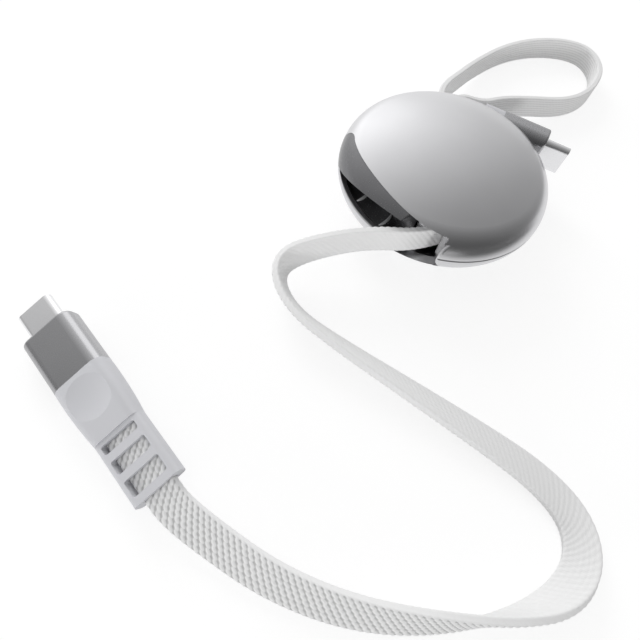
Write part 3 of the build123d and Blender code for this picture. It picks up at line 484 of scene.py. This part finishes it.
@dataclass
class Band:
    """A flat braided band that follows a route and leans as it goes.

    Attributes:
        name: Name of the piece.
        node: The frame's solid that it stands for.
        width: Width of the band, in millimetres.
        thickness: Thickness of the band, in millimetres.
        stations: Control points of the route.
        corner: Radius of the section's corners, in millimetres.
        columns: Columns of grains round the section.
        grain: Spacing of the grains along the band, in millimetres.
        grain_length: Length of a grain, as a share of that spacing.
        grain_width: Width of a grain, as a share of its column.
        slant: Angle of a grain to the band's line, in degrees.
        relief: Height of a grain over the valleys, in millimetres.
        plain: Share of that height that the band's plain face has.
        edging: Share of that height that is left on the band's two edges.
        step: Distance between two rows of points, in millimetres.
        round_step: Distance between two points of a row, in millimetres.
        line: Points of the middle line, in metres, once the route is read.
        edge: Points of the upper edge, in metres, once the route is read.
    """

    WEAVE_MAP = "weave"
    # Name of the attribute with the grains' height, which is also the mask of the braid's painted shade
    RELIEF = "relief"

    name: str
    node: str
    width: float
    thickness: float
    stations: list[Station]
    corner: float = 0.35
    columns: int = 18
    grain: float = 1.4
    grain_length: float = 0.7
    grain_width: float = 0.5
    slant: float = 30.0
    relief: float = 0.26
    plain: float = 0.35
    edging: float = 0.3
    step: float = 0.24
    round_step: float = 0.2
    line: list[Vector] = field(default_factory=list)
    edge: list[Vector] = field(default_factory=list)

    def route(self) -> None:
        """Reads the band's middle line and the line of its upper edge from two splines."""
        places = [station.point() for station in self.stations]
        uppers = []
        for index, (station, place) in enumerate(zip(self.stations, places)):
            before = places[max(index - 1, 0)]
            after = places[min(index + 1, len(places) - 1)]
            heading = (after - before).xy.normalized()
            right = Vector((heading.y, -heading.x, 0.0))
            lean = math.radians(station.lean)
            upward = Vector((0.0, 0.0, math.cos(lean))) + right * math.sin(lean)
            uppers.append(place + upward * (self.width / 2 * MM))
        self.line = spline_points(places)
        self.edge = spline_points(uppers)

    def frames(self) -> list[tuple[Vector, Vector, Vector]]:
        """Spaces rows of points evenly along the middle line.

        Returns:
            For each row its middle, the direction of its upper edge and that of its face.
        """
        travelled = [0.0]
        for here, after in zip(self.line, self.line[1:]):
            travelled.append(travelled[-1] + (after - here).length)
        rows = round(travelled[-1] / (self.step * MM))
        made = []
        for row in range(rows + 1):
            distance = travelled[-1] * row / rows
            index = min(max(bisect.bisect_right(travelled, distance) - 1, 0), len(self.line) - 2)
            share = (distance - travelled[index]) / (travelled[index + 1] - travelled[index])
            middle = self.line[index].lerp(self.line[index + 1], share)
            along = (self.line[index + 1] - self.line[index]).normalized()
            upper = self.edge[index].lerp(self.edge[index + 1], share) - middle
            upper = (upper - along * upper.dot(along)).normalized()
            made.append((middle, upper, along.cross(upper)))
        return made

    def perimeter(self) -> float:
        """Gives the length round the section, in millimetres."""
        straight = 2 * (self.width + self.thickness - 4 * self.corner)
        return straight + math.tau * self.corner

    def outline(self, distance: float) -> tuple[Vector, Vector]:
        """Finds a place on the section.

        Args:
            distance: Way round the section from the middle of its upper edge, in millimetres.

        Returns:
            The place and the outward direction, both as shares towards the upper edge and the face.
        """
        half = Vector((self.width / 2 - self.corner, self.thickness / 2 - self.corner))
        quarter = math.pi / 2 * self.corner
        runs = (half.y, quarter, 2 * half.x, quarter, 2 * half.y, quarter, 2 * half.x, quarter, half.y)
        turn = 0.0
        centres = ((1, 1), (-1, 1), (-1, -1), (1, -1))
        place = Vector((half.x + self.corner, 0.0))
        # Straight runs and round corners take turns
        for index, run in enumerate(runs):
            outward = Vector((math.cos(turn), math.sin(turn)))
            if index % 2:
                swing = min(distance, run) / self.corner
                outward = Vector((math.cos(turn + swing), math.sin(turn + swing)))
                signs = centres[index // 2]
                place = Vector((signs[0] * half.x, signs[1] * half.y)) + outward * self.corner
                turn += swing
            else:
                along = Vector((-outward.y, outward.x))
                place = place + along * min(distance, run)
            if distance <= run:
                return place, outward
            distance -= run
        return place, outward

    def grain_height(self, along: float, around: float) -> float:
        """Height of the braid's grains over its valleys.

        Args:
            along: Way along the band, in millimetres.
            around: Way round the section, in millimetres.

        Returns:
            The height, from zero between two grains to one on a crest.
        """
        pitch = self.perimeter() / self.columns
        turn = math.radians(self.slant)
        best = 0.0
        for column in range(math.floor(around / pitch) - 1, math.floor(around / pitch) + 2):
            across = around - (column + 0.5) * pitch
            # Every second column lies half a grain ahead
            ahead = along / self.grain + 0.5 * (column % 2)
            ahead = (ahead - round(ahead)) * self.grain
            for shift in (-self.grain, 0.0, self.grain):
                length = (ahead + shift) * math.cos(turn) + across * math.sin(turn)
                width = across * math.cos(turn) - (ahead + shift) * math.sin(turn)
                out = math.hypot(
                    length / (self.grain * self.grain_length), width / (pitch * self.grain_width)
                )
                best = max(best, 1.0 - min(out, 1.0) ** 2)
        return best

    def build(self) -> bpy.types.Object:
        """Lays a fine grid round the route and raises the braid's grains on it.

        Returns:
            The band's object.
        """
        self.route()
        frames = self.frames()
        rows = len(frames) - 1
        round_steps = round(self.perimeter() / self.round_step)
        section = [self.outline(self.perimeter() * at / round_steps) for at in range(round_steps + 1)]
        shape = bmesh.new()
        # A flat grid of side one: its two directions become the way along the band and the way round it
        bmesh.ops.create_grid(shape, x_segments=rows, y_segments=round_steps, size=0.5)
        weave = shape.loops.layers.uv.new(self.WEAVE_MAP)
        height = shape.verts.layers.float.new(self.RELIEF)
        for face in shape.faces:
            for loop in face.loops:
                flat = loop.vert.co
                loop[weave].uv = (
                    (flat.x + 0.5) * rows * self.step * MM,
                    (flat.y + 0.5) * self.perimeter() * MM,
                )
        for vert in shape.verts:
            row = round((vert.co.x + 0.5) * rows)
            at = round((vert.co.y + 0.5) * round_steps)
            middle, upper, outer = frames[row]
            place, outward = section[at]
            rise = self.grain_height(row * self.step, self.perimeter() * (at % round_steps) / round_steps)
            # One face keeps the whole relief, the other the plain share, and the edges little of it
            kept = self.plain + (1.0 - self.plain) * (1.0 + outward.y) / 2
            kept = kept * (self.edging + (1.0 - self.edging) * abs(outward.y))
            # Mask of the painted shade: the gaps go dark only where much relief is kept, so the face with
            # the whole relief carries the most painted shade
            vert[height] = 1.0 - kept * (1.0 - rise)
            place = place + outward * self.relief * kept * (rise - 0.5)
            vert.co = middle + (upper * place.x + outer * place.y) * MM
        bmesh.ops.remove_doubles(shape, verts=shape.verts[:], dist=SEAM_WELD)
        bmesh.ops.holes_fill(shape, edges=[edge for edge in shape.edges if edge.is_boundary], sides=0)
        bmesh.ops.recalc_face_normals(shape, faces=shape.faces[:])
        piece = link_shape(self.name, shape)
        piece.data.shade_smooth()
        return piece

    def length(self) -> float:
        """Gives the length of the band's middle line, in metres."""
        return sum((after - here).length for here, after in zip(self.line, self.line[1:]))

    def dress(self, piece: bpy.types.Object, finish: BraidFinish) -> None:
        """Gives the band its finish and its place in the frame.

        Args:
            piece: The band's object.
            finish: The braid that it is made of.
        """
        piece.data.materials.append(finish.build())
        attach(piece, ROOT_BODY)
        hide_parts(self.node)
        LOG.info("built %s, %.1f mm long, %d faces", self.name, self.length() / MM, len(piece.data.polygons))


@dataclass
class PulledRibbon(Band):
    """The length of cable that is pulled out, from the reel to the front plug."""

    def declare(self, piece: bpy.types.Object) -> None:
        """Works out where the ribbon leaves the case and how long it is, and does nothing with either.

        Args:
            piece: The ribbon's object; not used.
        """
        self.stations[1].point()
        self.length()


@dataclass
class WristStrap(Band):
    """The loop behind the case, which goes round its pin and stands on its edge."""

    def declare(self, piece: bpy.types.Object) -> None:
        """Works out where the strap leaves the case and how long it is, and does nothing with either.

        Args:
            piece: The strap's object; not used.
        """
        self.stations[1].point()
        self.length()


# From the reel, out of the mouth, round the two turns on the table and into the front plug
RIBBON_STATIONS = [
    Station(6.4, -15.5, MID),
    Station(-2.04, -22.61, MID),
    Station(-15.0, -25.7, 10.6, 2.0),
    Station(-26.0, -30.4, 8.6, 8.0),
    Station(-32.6, -34.6, 6.4, 16.0),
    Station(-32.6, -39.8, 4.8, 24.0),
    Station(-26.5, -46.0, 3.7, 32.0),
    Station(-15.0, -50.8, 3.2, 42.0),
    Station(2.0, -56.8, 2.7, 55.0),
    Station(18.0, -62.5, 2.1, 68.0),
    Station(31.0, -67.6, 1.5, 80.0),
    Station(39.3, -74.0, 1.1, 92.0),
    Station(40.6, -82.0, 1.9, 108.0),
    Station(35.8, -89.5, 3.1, 135.0),
    Station(26.5, -94.8, 3.6, 170.0),
    Station(12.0, -98.9, 3.6, 205.0),
    Station(-3.0, -100.5, 3.1, 224.0),
    Station(-17.5, -98.8, 2.9, 233.0),
    Station(-29.8, -94.7, 3.0, 240.0),
    Station(-37.6, -91.6, 3.9, 245.0),
    Station(-41.12, -88.99, PLUG_MID, 248.0),
    Station(-52.2, -80.8, PLUG_MID, 248.0),
]

# From the strap's pin, round the loop on the table and back to the pin
STRAP_STATIONS = [
    Station(-4.03, 23.14, MID),
    Station(-4.48, 28.32, MID),
    Station(-3.0, 34.7, 9.8),
    Station(0.8, 44.4, 7.0),
    Station(5.6, 56.0, 4.4),
    Station(14.8, 70.0, 3.4),
    Station(25.0, 78.4, 3.4),
    Station(36.5, 83.0, 3.4),
    Station(45.0, 82.0, 3.4),
    Station(48.7, 73.8, 3.4),
    Station(46.8, 64.0, 3.4),
    Station(42.0, 55.6, 3.4),
    Station(34.6, 49.6, 3.7),
    Station(24.2, 45.0, 4.7),
    Station(14.6, 39.6, 5.9),
    Station(8.6, 32.6, 7.8),
    Station(-0.5, 28.66, MID),
    Station(-0.05, 23.48, MID),
]


@dataclass
class Case:
    """The pebble case with its dock's lining, its pins and its pad.

    Attributes:
        shells: The two halves of the case.
        linings: What the dock is lined with.
        pads: What the case stands on.
        pins: Pins, screw, spring and other small steel inside.
    """

    shells: tuple[str, ...] = ("upper_shell", "lower_shell")
    linings: tuple[str, ...] = ("dock_liner",)
    pads: tuple[str, ...] = ("base_pad",)
    pins: tuple[str, ...] = (
        "centre_screw",
        "reel_axle",
        "retaining_ring",
        "mainspring",
        "pawl_pin",
        "ratchet_pawl",
        "roller_pin_inner",
        "roller_pin_outer",
        "strap_pin",
    )

    def dress(self) -> None:
        """Gives the case's pieces their finishes."""
        # Satin-plated shell: a fine blasted grain spreads the studio's light into soft gradients
        satin = Finish(
            "satin_plated_shell", "case_silver", "#d6d6d8", "#d0d0d2",
            roughness=(0.26, 0.34), grain=0.22, depth=0.004, metallic=1.0,
        )
        dress(self.shells, satin)
        # Dark metallic lacquer: its flakes shine like metal and its binder gives the hollow some body colour
        lacquer = Finish(
            "dark_metallic_lacquer", "dark_chrome", "#7a7a7c", "#707072",
            roughness=(0.22, 0.3), grain=0.3, depth=0.002, metallic=0.7,
        )
        dress(self.linings, lacquer)
        # Silicone pad: matt, with a moulded grain that keeps it from shining
        silicone = Finish(
            "silicone_pad", "base_rubber", "#3c3c3e", "#343436",
            roughness=(0.62, 0.78), grain=0.35, depth=0.02,
        )
        dress(self.pads, silicone)
        # Turned and drawn steel: fine lines that stretch the light
        steel = Finish(
            "turned_steel", "steel", "#cbcbcd", "#bebec0",
            roughness=(0.22, 0.36), grain=0.12, depth=0.003, metallic=1.0, surface=Surface.DRAWN,
        )
        dress(self.pins, steel)


@dataclass
class Dock:
    """Thin pale beads round the noses of the dock's two shelves: a painted highlight on their rounded edges.

    Attributes:
        azimuths: Where each shelf's nose is, round the reel's axis, in degrees.
        circle: Distance of the noses from the reel's axis, in millimetres.
        heading: The way that the shelves point, in degrees.
        tilt: How far the shelves tip up, in degrees.
        nose_round: Radius of a nose, in millimetres.
        span: First and last angle of the edge round its nose, in degrees.
        bead: Radius of the edge, in millimetres.
        bead_sides: Sides of the edge's section.
        bead_steps: Steps of the edge round its nose.
    """

    azimuths: tuple[float, ...] = (-142.0, -120.5)
    circle: float = 22.8
    heading: float = -30.0
    tilt: float = 12.0
    nose_round: float = 6.2
    span: tuple[float, float] = (-24.0, 26.0)
    bead: float = 0.4
    bead_sides: int = 10
    bead_steps: int = 24

    def build_edge(self, name: str, azimuth: float) -> bpy.types.Object:
        """Spins a thin bead round a shelf's nose and draws its two ends to points.

        Args:
            name: Name of the piece.
            azimuth: Where the nose is, in degrees.

        Returns:
            The edge's object.
        """
        shape = bmesh.new()
        start, stop = (math.radians(angle) for angle in self.span)
        ring = bmesh.ops.create_circle(shape, segments=self.bead_sides, radius=self.bead * MM)["verts"]
        bmesh.ops.rotate(shape, verts=ring, matrix=Matrix.Rotation(math.pi / 2, 3, "X"))
        bmesh.ops.translate(shape, verts=ring, vec=(self.nose_round * MM, 0.0, 0.0))
        bmesh.ops.rotate(shape, verts=ring, matrix=Matrix.Rotation(start, 3, "Z"))
        bmesh.ops.spin(
            shape,
            geom=shape.verts[:] + shape.edges[:],
            axis=(0.0, 0.0, 1.0),
            angle=stop - start,
            steps=self.bead_steps,
            use_merge=False,
        )
        for vert in shape.verts:
            angle = math.atan2(vert.co.y, vert.co.x)
            share = abs(2 * (angle - start) / (stop - start) - 1)
            middle = Vector((math.cos(angle), math.sin(angle), 0.0)) * self.nose_round * MM
            vert.co = middle.lerp(vert.co, math.sqrt(max(1.0 - share**2, 0.0)))
        bmesh.ops.remove_doubles(shape, verts=shape.verts[:], dist=TIP_WELD)
        bmesh.ops.recalc_face_normals(shape, faces=shape.faces[:])
        nose = Vector((math.cos(math.radians(azimuth)), math.sin(math.radians(azimuth)), 0.0)) * self.circle
        turn = Matrix.Rotation(math.radians(self.heading), 4, "Z")
        tip = Matrix.Rotation(-math.radians(self.tilt), 4, "Y")
        back = Matrix.Translation(Vector((-self.nose_round, 0.0, 0.0)) * MM)
        place = Matrix.Translation((nose + Vector((0.0, 0.0, MID))) * MM)
        bmesh.ops.transform(shape, matrix=place @ turn @ tip @ back, verts=shape.verts[:])
        piece = link_shape(name, shape)
        piece.data.shade_smooth()
        return piece

    def dress(self) -> None:
        """Builds the shelves' edge beads and gives them the pale finish of the painted highlight."""
        # Painted highlight: a smooth round bead, far paler than the lining, that also mirrors the light
        # above the dock
        painted_highlight = Finish(
            "painted_edge_highlight", "dark_chrome", "#e0e0e2", "#d4d4d6",
            roughness=(0.16, 0.24), grain=0.2, depth=0.001, metallic=0.4,
        )
        material = painted_highlight.build()
        for index, azimuth in enumerate(self.azimuths, 1):
            piece = self.build_edge(f"shelf_highlight_bead_{index}", azimuth)
            piece.data.materials.append(material)
            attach(piece, ROOT_BODY)
            LOG.info("built %s", piece.name)


@dataclass
class Reel:
    """The spring reel, its guides and the slip rings under it.

    Attributes:
        moulded: The drum and its cover.
        rollers: What the ribbon runs between at the mouth.
        carriers: What holds the brushes.
        rolls: The ribbon that is wound up.
        boards: What the slip rings lie on.
        contacts: The slip rings and the fingers that rub on them.
        films: The flat conductor to the rear plug.
        turn: Thickness of one turn of the wound ribbon, in millimetres.
    """

    moulded: tuple[str, ...] = ("reel_drum", "reel_cover")
    rollers: tuple[str, ...] = ("guide_roller_inner", "guide_roller_outer")
    carriers: tuple[str, ...] = ("brush_carrier",)
    rolls: tuple[str, ...] = ("wound_ribbon",)
    boards: tuple[str, ...] = ("slip_ring_board",)
    contacts: tuple[str, ...] = ("slip_rings", "brush_fingers")
    films: tuple[str, ...] = ("rear_flex",)
    turn: float = 1.7

    def dress(self) -> None:
        """Gives the reel's pieces their finishes."""
        # Acetal, moulded: dark, even and slightly waxy
        acetal = Finish(
            "moulded_acetal", "reel_plastic", "#434345", "#3a3a3c",
            roughness=(0.4, 0.52), grain=0.3, depth=0.01,
        )
        dress(self.moulded, acetal)
        # Nylon, turned: pale grey and half glossy where the ribbon polishes it
        turned_nylon = Finish(
            "turned_nylon", "roller_plastic", "#bcbcbe", "#b0b0b2",
            roughness=(0.3, 0.42), grain=0.2, depth=0.006,
        )
        dress(self.rollers, turned_nylon)
        # Nylon, moulded: near black and matt
        moulded_nylon = Finish(
            "moulded_nylon", "carrier_plastic", "#353535", "#2d2d2d",
            roughness=(0.45, 0.6), grain=0.25, depth=0.008,
        )
        dress(self.carriers, moulded_nylon)
        # Polyester braid on its edge: pale rings, with grey painted shade in the gaps between the turns
        dress(self.rolls, RollFinish("wound_braid", "braid_white", self.turn, "#ececec", "#b4b4b4"))
        # Epoxy laminate under a green mask: glossy, with the glass weave just visible
        laminate = Finish(
            "masked_laminate", "board_green", "#1f5a3c", "#1a4d33",
            roughness=(0.2, 0.3), grain=0.8, depth=0.006,
        )
        dress(self.boards, laminate)
        # Plated brass: warm and bright, with a drawn grain
        brass = Finish(
            "plated_brass", "contact_brass", "#e4c98a", "#d8b974",
            roughness=(0.18, 0.3), grain=0.1, depth=0.002, metallic=1.0, surface=Surface.DRAWN,
        )
        dress(self.contacts, brass)
        # Polyimide film: amber and glossy, with a high refractive index
        film = Finish(
            "amber_film", "flex_film", "#c08a3c", "#b27c30",
            roughness=(0.2, 0.32), grain=0.5, depth=0.004, ior=1.7,
        )
        dress(self.films, film)


@dataclass
class Plugs:
    """The plug on the ribbon and the one that looks out behind the case.

    Attributes:
        ends: First part of the names of each plug's pieces.
        sleeves: The soft pieces behind the barrels.
    """

    ends: tuple[str, ...] = ("front_plug", "rear_plug")
    sleeves: tuple[str, ...] = ("front_plug_relief", "rear_plug_boot")

    def both(self, piece: str) -> tuple[str, ...]:
        """Gives the names of a piece that both plugs have."""
        return tuple(f"{end}_{piece}" for end in self.ends)

    def dress(self) -> None:
        """Gives the plugs' pieces their finishes."""
        # Drawn and plated steel: bright, with fine lines along the shell
        steel = Finish(
            "plated_drawn_steel", "plug_steel", "#f0f0f1", "#e8e8ea",
            roughness=(0.2, 0.3), grain=0.1, depth=0.002, metallic=1.0, surface=Surface.DRAWN,
        )
        dress(self.both("shell"), steel)
        # Nylon with glass fibre: near black and matt, so that the plug's mouth reads as deep
        nylon = Finish(
            "glass_filled_nylon", "insert_plastic", "#303032", "#29292b",
            roughness=(0.45, 0.6), grain=0.2, depth=0.008,
        )
        dress(self.both("insert"), nylon)
        # Blasted and anodised aluminium: a grey satin metal
        anodised = Finish(
            "anodised_barrel", "barrel_grey", "#b0b0b2", "#a8a8aa",
            roughness=(0.24, 0.32), grain=0.16, depth=0.005, metallic=1.0,
        )
        dress(self.both("barrel"), anodised)
        # Thermoplastic elastomer: pale and soft, with a fine spark-eroded grain from its mould
        elastomer = Finish(
            "moulded_elastomer", "relief_pale", "#d4d4d8", "#cecfd3",
            roughness=(0.46, 0.58), grain=0.22, depth=0.012,
        )
        dress(self.sleeves, elastomer)


@dataclass(frozen=True)
class Lamp:
    """A square soft lamp that looks at the object and that reflections don't show.

    Attributes:
        name: Name of the lamp.
        at: Its place, in metres.
        side: Its side, in metres.
        power: Its power, in watts.
        aim: The place that it looks at, in metres.
    """

    name: str
    at: tuple[float, float, float]
    side: float
    power: float
    aim: tuple[float, float, float] = (0.0, -0.03, 0.0)

    def build(self) -> None:
        """Hangs the lamp."""
        data = bpy.data.lights.new(self.name, "AREA")
        data.size = self.side
        data.energy = self.power
        lamp = bpy.data.objects.new(self.name, data)
        lamp.location = self.at
        lamp.visible_glossy = False
        lamp.rotation_euler = (Vector(self.aim) - Vector(self.at)).to_track_quat("-Z", "Y").to_euler()
        bpy.context.scene.collection.objects.link(lamp)


@dataclass
class Studio:
    """Camera, floor, cards, lamps and the light tent round the object.

    Attributes:
        focal_pixels: The camera's focal length, in pixels.
        image_pixels: Width of the picture, in pixels.
        sensor: Width of the sensor, in millimetres.
        near: The nearest distance that the camera sees, in metres.
        camera_at: Place of the camera, in millimetres.
        right: The picture's direction to the right.
        down: The picture's direction downwards.
        ahead: The way that the camera looks.
        floor_half: Half of the floor's side, in metres.
        paper: Colour of the floor that lights the object.
        thin_paper: Colour of the floor that is seen, which takes the shadow.
        glow: Light that the floor that is seen gives of itself.
        card_half: Radius of the dark card, in millimetres.
        card_fade: Width of its soft edge, in millimetres.
        card_at: Its middle, in millimetres.
        card_level: How bright it is.
        strip_size: Length and width of the bright card, in millimetres.
        strip_from: Middle of the front plug, in millimetres.
        strip_along: Direction of the front plug.
        strip_behind: The way from the plug to the bright card.
        strip_reach: Distance from the plug to the bright card, in millimetres.
        strip_level: How bright that card is.
        bright_side: The way to the brightest side of the tent.
        tent_levels: Places from the tent's darkest side to its brightest, with the level at each.
        fill: Level of the even light on matt surfaces.
        evenness: Share of the even light in what matt surfaces get from the tent.
        lamps: The lamps.
    """

    focal_pixels: float = 500.0
    image_pixels: float = 640.0
    sensor: float = 36.0
    near: float = 0.005
    camera_at: tuple[float, float, float] = (-20.89, -100.16, 102.17)
    right: tuple[float, float, float] = (0.96715, 0.22294, 0.12212)
    down: tuple[float, float, float] = (0.2542, -0.84823, -0.46464)
    ahead: tuple[float, float, float] = (0.0, 0.48042, -0.87704)
    floor_half: float = 3.0
    paper: str = "#e8e8e8"
    thin_paper: str = "#8a8a8a"
    glow: float = 0.8
    card_half: float = 500.0
    card_fade: float = 34.0
    card_at: tuple[float, float, float] = (323.0, -419.0, 0.6)
    card_level: float = 0.12
    strip_size: tuple[float, float] = (90.0, 36.0)
    strip_from: tuple[float, float, float] = (-64.0, -72.0, 5.0)
    strip_along: tuple[float, float, float] = (-0.804, 0.594, 0.0)
    strip_behind: tuple[float, float, float] = (0.465, 0.629, 0.623)
    strip_reach: float = 42.0
    strip_level: float = 1.8
    bright_side: tuple[float, float, float] = (-0.505, 0.808, 0.303)
    tent_levels: tuple[tuple[float, float], ...] = (
        (0.0, 0.1),
        (0.15, 0.12),
        (0.4, 0.26),
        (0.675, 0.45),
        (0.855, 0.8),
        (0.94, 1.08),
        (1.0, 1.6),
    )
    fill: float = 0.72
    evenness: float = 0.5
    lamps: tuple[Lamp, ...] = (
        Lamp("key_lamp", at=(-0.5, 0.66, 0.42), side=0.4, power=3.1),
        Lamp("left_lamp", at=(-0.6, -0.74, 0.12), side=0.2, power=2.3),
        Lamp("right_lamp", at=(0.4, -0.86, 0.12), side=0.2, power=1.5),
    )

    def camera(self) -> None:
        """Stands the camera where the photograph was taken from."""
        data = bpy.data.cameras.new("camera")
        data.sensor_width = self.sensor
        data.lens = self.focal_pixels / self.image_pixels * self.sensor
        data.clip_start = self.near
        camera = bpy.data.objects.new("camera", data)
        axes = (Vector(self.right), -Vector(self.down), -Vector(self.ahead))
        turn = Matrix(axes).transposed().to_4x4()
        camera.matrix_world = Matrix.Translation(Vector(self.camera_at) * MM) @ turn
        bpy.context.scene.collection.objects.link(camera)
        bpy.context.scene.camera = camera

    def floor(self) -> None:
        """Lays a white floor that keeps a faint shadow of the object."""
        shape = bmesh.new()
        bmesh.ops.create_grid(shape, x_segments=1, y_segments=1, size=self.floor_half)
        piece = link_shape("floor", shape)
        material = empty_material("white_paper")
        tree = material.node_tree
        rays = add_node(tree, "ShaderNodeLightPath").outputs
        seen = add_node(
            tree,
            "ShaderNodeMath",
            {"operation": "ADD"},
            links={0: rays["Is Camera Ray"], 1: rays["Is Glossy Ray"]},
        ).outputs[0]
        seen = add_node(
            tree,
            "ShaderNodeMath",
            {"operation": "ADD", "use_clamp": True},
            links={0: seen, 1: rays["Is Transmission Ray"]},
        ).outputs[0]
        paper = add_node(tree, "ShaderNodeBsdfDiffuse", values={"Color": linear(self.paper)}).outputs[0]
        thin = add_node(tree, "ShaderNodeBsdfDiffuse", values={"Color": linear(self.thin_paper)}).outputs[0]
        glow = add_node(tree, "ShaderNodeEmission", values={"Strength": self.glow}).outputs[0]
        lit = add_node(tree, "ShaderNodeAddShader", links={0: thin, 1: glow}).outputs[0]
        mixed = add_node(tree, "ShaderNodeMixShader", links={0: seen, 1: paper, 2: lit}).outputs[0]
        add_node(tree, "ShaderNodeOutputMaterial", links={"Surface": mixed})
        piece.data.materials.append(material)

    def stand_card(self, name: str, shape: bmesh.types.BMesh) -> bpy.types.NodeTree:
        """Stands a card of the studio, which only reflections see.

        Args:
            name: Name of the card.
            shape: Its shape, which is used up.

        Returns:
            The empty node tree of its material.
        """
        card = link_shape(name, shape)
        for kind in ("camera", "diffuse", "transmission", "volume_scatter", "shadow"):
            setattr(card, f"visible_{kind}", False)
        material = empty_material(name)
        card.data.materials.append(material)
        return material.node_tree

    def dark_card(self) -> None:
        """Lays a soft-edged dark card in front, which draws the dark band along the case's edge."""
        shape = bmesh.new()
        bmesh.ops.create_grid(shape, x_segments=1, y_segments=1, size=self.card_half * MM)
        middle = Vector(self.card_at) * MM
        bmesh.ops.translate(shape, verts=shape.verts[:], vec=middle)
        tree = self.stand_card("dark_card", shape)
        place = add_node(tree, "ShaderNodeTexCoord").outputs["Object"]
        reach = add_node(
            tree, "ShaderNodeVectorMath", {"operation": "DISTANCE"}, {1: middle}, {0: place}
        ).outputs["Value"]
        cover = add_node(
            tree,
            "ShaderNodeMapRange",
            {"interpolation_type": "SMOOTHSTEP"},
            {
                "From Min": (self.card_half - self.card_fade) * MM,
                "From Max": self.card_half * MM,
                "To Min": 1.0,
                "To Max": 0.0,
            },
            {"Value": reach},
        ).outputs["Result"]
        velvet = add_node(tree, "ShaderNodeEmission", values={"Strength": self.card_level}).outputs[0]
        clear = add_node(tree, "ShaderNodeBsdfTransparent").outputs[0]
        mixed = add_node(tree, "ShaderNodeMixShader", links={0: cover, 1: clear, 2: velvet}).outputs[0]
        add_node(tree, "ShaderNodeOutputMaterial", links={"Surface": mixed})

    def bright_card(self) -> None:
        """Hangs a white card behind the front plug, bright on one side, which draws the barrel's stripe."""
        shape = bmesh.new()
        bmesh.ops.create_grid(shape, x_segments=1, y_segments=1, size=0.5 * MM)
        bmesh.ops.scale(shape, verts=shape.verts[:], vec=(*self.strip_size, 1.0))
        along = Vector(self.strip_along)
        facing = -Vector(self.strip_behind)
        turn = Matrix((along, facing.cross(along), facing)).transposed().to_4x4()
        middle = (Vector(self.strip_from) + Vector(self.strip_behind) * self.strip_reach) * MM
        bmesh.ops.transform(shape, verts=shape.verts[:], matrix=Matrix.Translation(middle) @ turn)
        tree = self.stand_card("bright_card", shape)
        back = add_node(tree, "ShaderNodeNewGeometry").outputs["Backfacing"]
        paper = add_node(tree, "ShaderNodeEmission", values={"Strength": self.strip_level}).outputs[0]
        clear = add_node(tree, "ShaderNodeBsdfTransparent").outputs[0]
        mixed = add_node(tree, "ShaderNodeMixShader", links={0: back, 1: paper, 2: clear}).outputs[0]
        add_node(tree, "ShaderNodeOutputMaterial", links={"Surface": mixed})

    def tent(self) -> None:
        """Lights the object from all round: bright behind on the left, dark in front on the right."""
        world = bpy.data.worlds.new("light_tent")
        bpy.context.scene.world = world
        world.use_nodes = True
        tree = world.node_tree
        tree.nodes.clear()
        towards = add_node(tree, "ShaderNodeTexCoord").outputs["Generated"]
        side = add_node(
            tree,
            "ShaderNodeVectorMath",
            {"operation": "DOT_PRODUCT"},
            {1: self.bright_side},
            {0: towards},
        ).outputs["Value"]
        share = add_node(
            tree, "ShaderNodeMapRange", values={"From Min": -1.0, "From Max": 1.0}, links={"Value": side}
        ).outputs["Result"]
        ramp = add_node(tree, "ShaderNodeValToRGB", links={"Fac": share})
        elements = ramp.color_ramp.elements
        while len(elements) < len(self.tent_levels):
            elements.new(0.5)
        for element, (at, level) in zip(elements, self.tent_levels):
            element.position = at
            element.color = (level, level, level, 1.0)
        rays = add_node(tree, "ShaderNodeLightPath").outputs
        evened = add_node(
            tree,
            "ShaderNodeMapRange",
            values={"To Min": 0.0, "To Max": self.evenness},
            links={"Value": rays["Is Diffuse Ray"]},
        ).outputs["Result"]
        tone = add_node(
            tree,
            "ShaderNodeMix",
            {"data_type": "RGBA"},
            {MIX_SECOND: (self.fill, self.fill, self.fill, 1.0)},
            {MIX_SHARE: evened, MIX_FIRST: ramp.outputs["Color"]},
        ).outputs[MIX_RESULT]
        tent = add_node(tree, "ShaderNodeBackground", links={"Color": tone}).outputs[0]
        white = add_node(tree, "ShaderNodeBackground", values={"Color": (1.0, 1.0, 1.0, 1.0)}).outputs[0]
        mixed = add_node(
            tree, "ShaderNodeMixShader", links={0: rays["Is Camera Ray"], 1: tent, 2: white}
        ).outputs[0]
        add_node(tree, "ShaderNodeOutputWorld", links={"Surface": mixed})

    def light(self) -> None:
        """Sets the tent, the lamps and the colour management."""
        self.tent()
        for lamp in self.lamps:
            lamp.build()
        bpy.context.scene.view_settings.view_transform = "Standard"


def main() -> None:
    """Builds the scene: camera and cords first, then the finishes and the studio."""
    logging.basicConfig(level=logging.INFO)
    studio = Studio()
    studio.camera()
    # Polyester yarn in a flat braid: bright grains in slanted rows, with soft grey painted shade in the gaps
    braid = BraidFinish("braided_polyester", "braid_white", crest="#f0f0f0", valley_shade="#c4c4c4")
    # The same yarn, braided finer: low grains in straight rows that read as a faint pattern, with a faint
    # painted shade in the gaps
    strap_braid = BraidFinish("fine_polyester", "braid_white", crest="#f2f2f2", valley_shade="#e2e2e2")
    ribbon = PulledRibbon("ribbon", "pulled_ribbon", width=7.0, thickness=1.7, stations=RIBBON_STATIONS)
    strap = WristStrap(
        "strap",
        "wrist_strap",
        width=6.6,
        thickness=1.7,
        stations=STRAP_STATIONS,
        columns=20,
        grain=1.2,
        grain_length=0.95,
        grain_width=0.45,
        slant=6.0,
        relief=0.1,
        plain=1.0,
    )
    for band, finish in ((ribbon, braid), (strap, strap_braid)):
        piece = band.build()
        band.dress(piece, finish)
        band.declare(piece)
    Case().dress()
    Dock().dress()
    Reel().dress()
    Plugs().dress()
    studio.floor()
    studio.dark_card()
    studio.bright_card()
    studio.light()


if __name__ == "__main__":
    main()
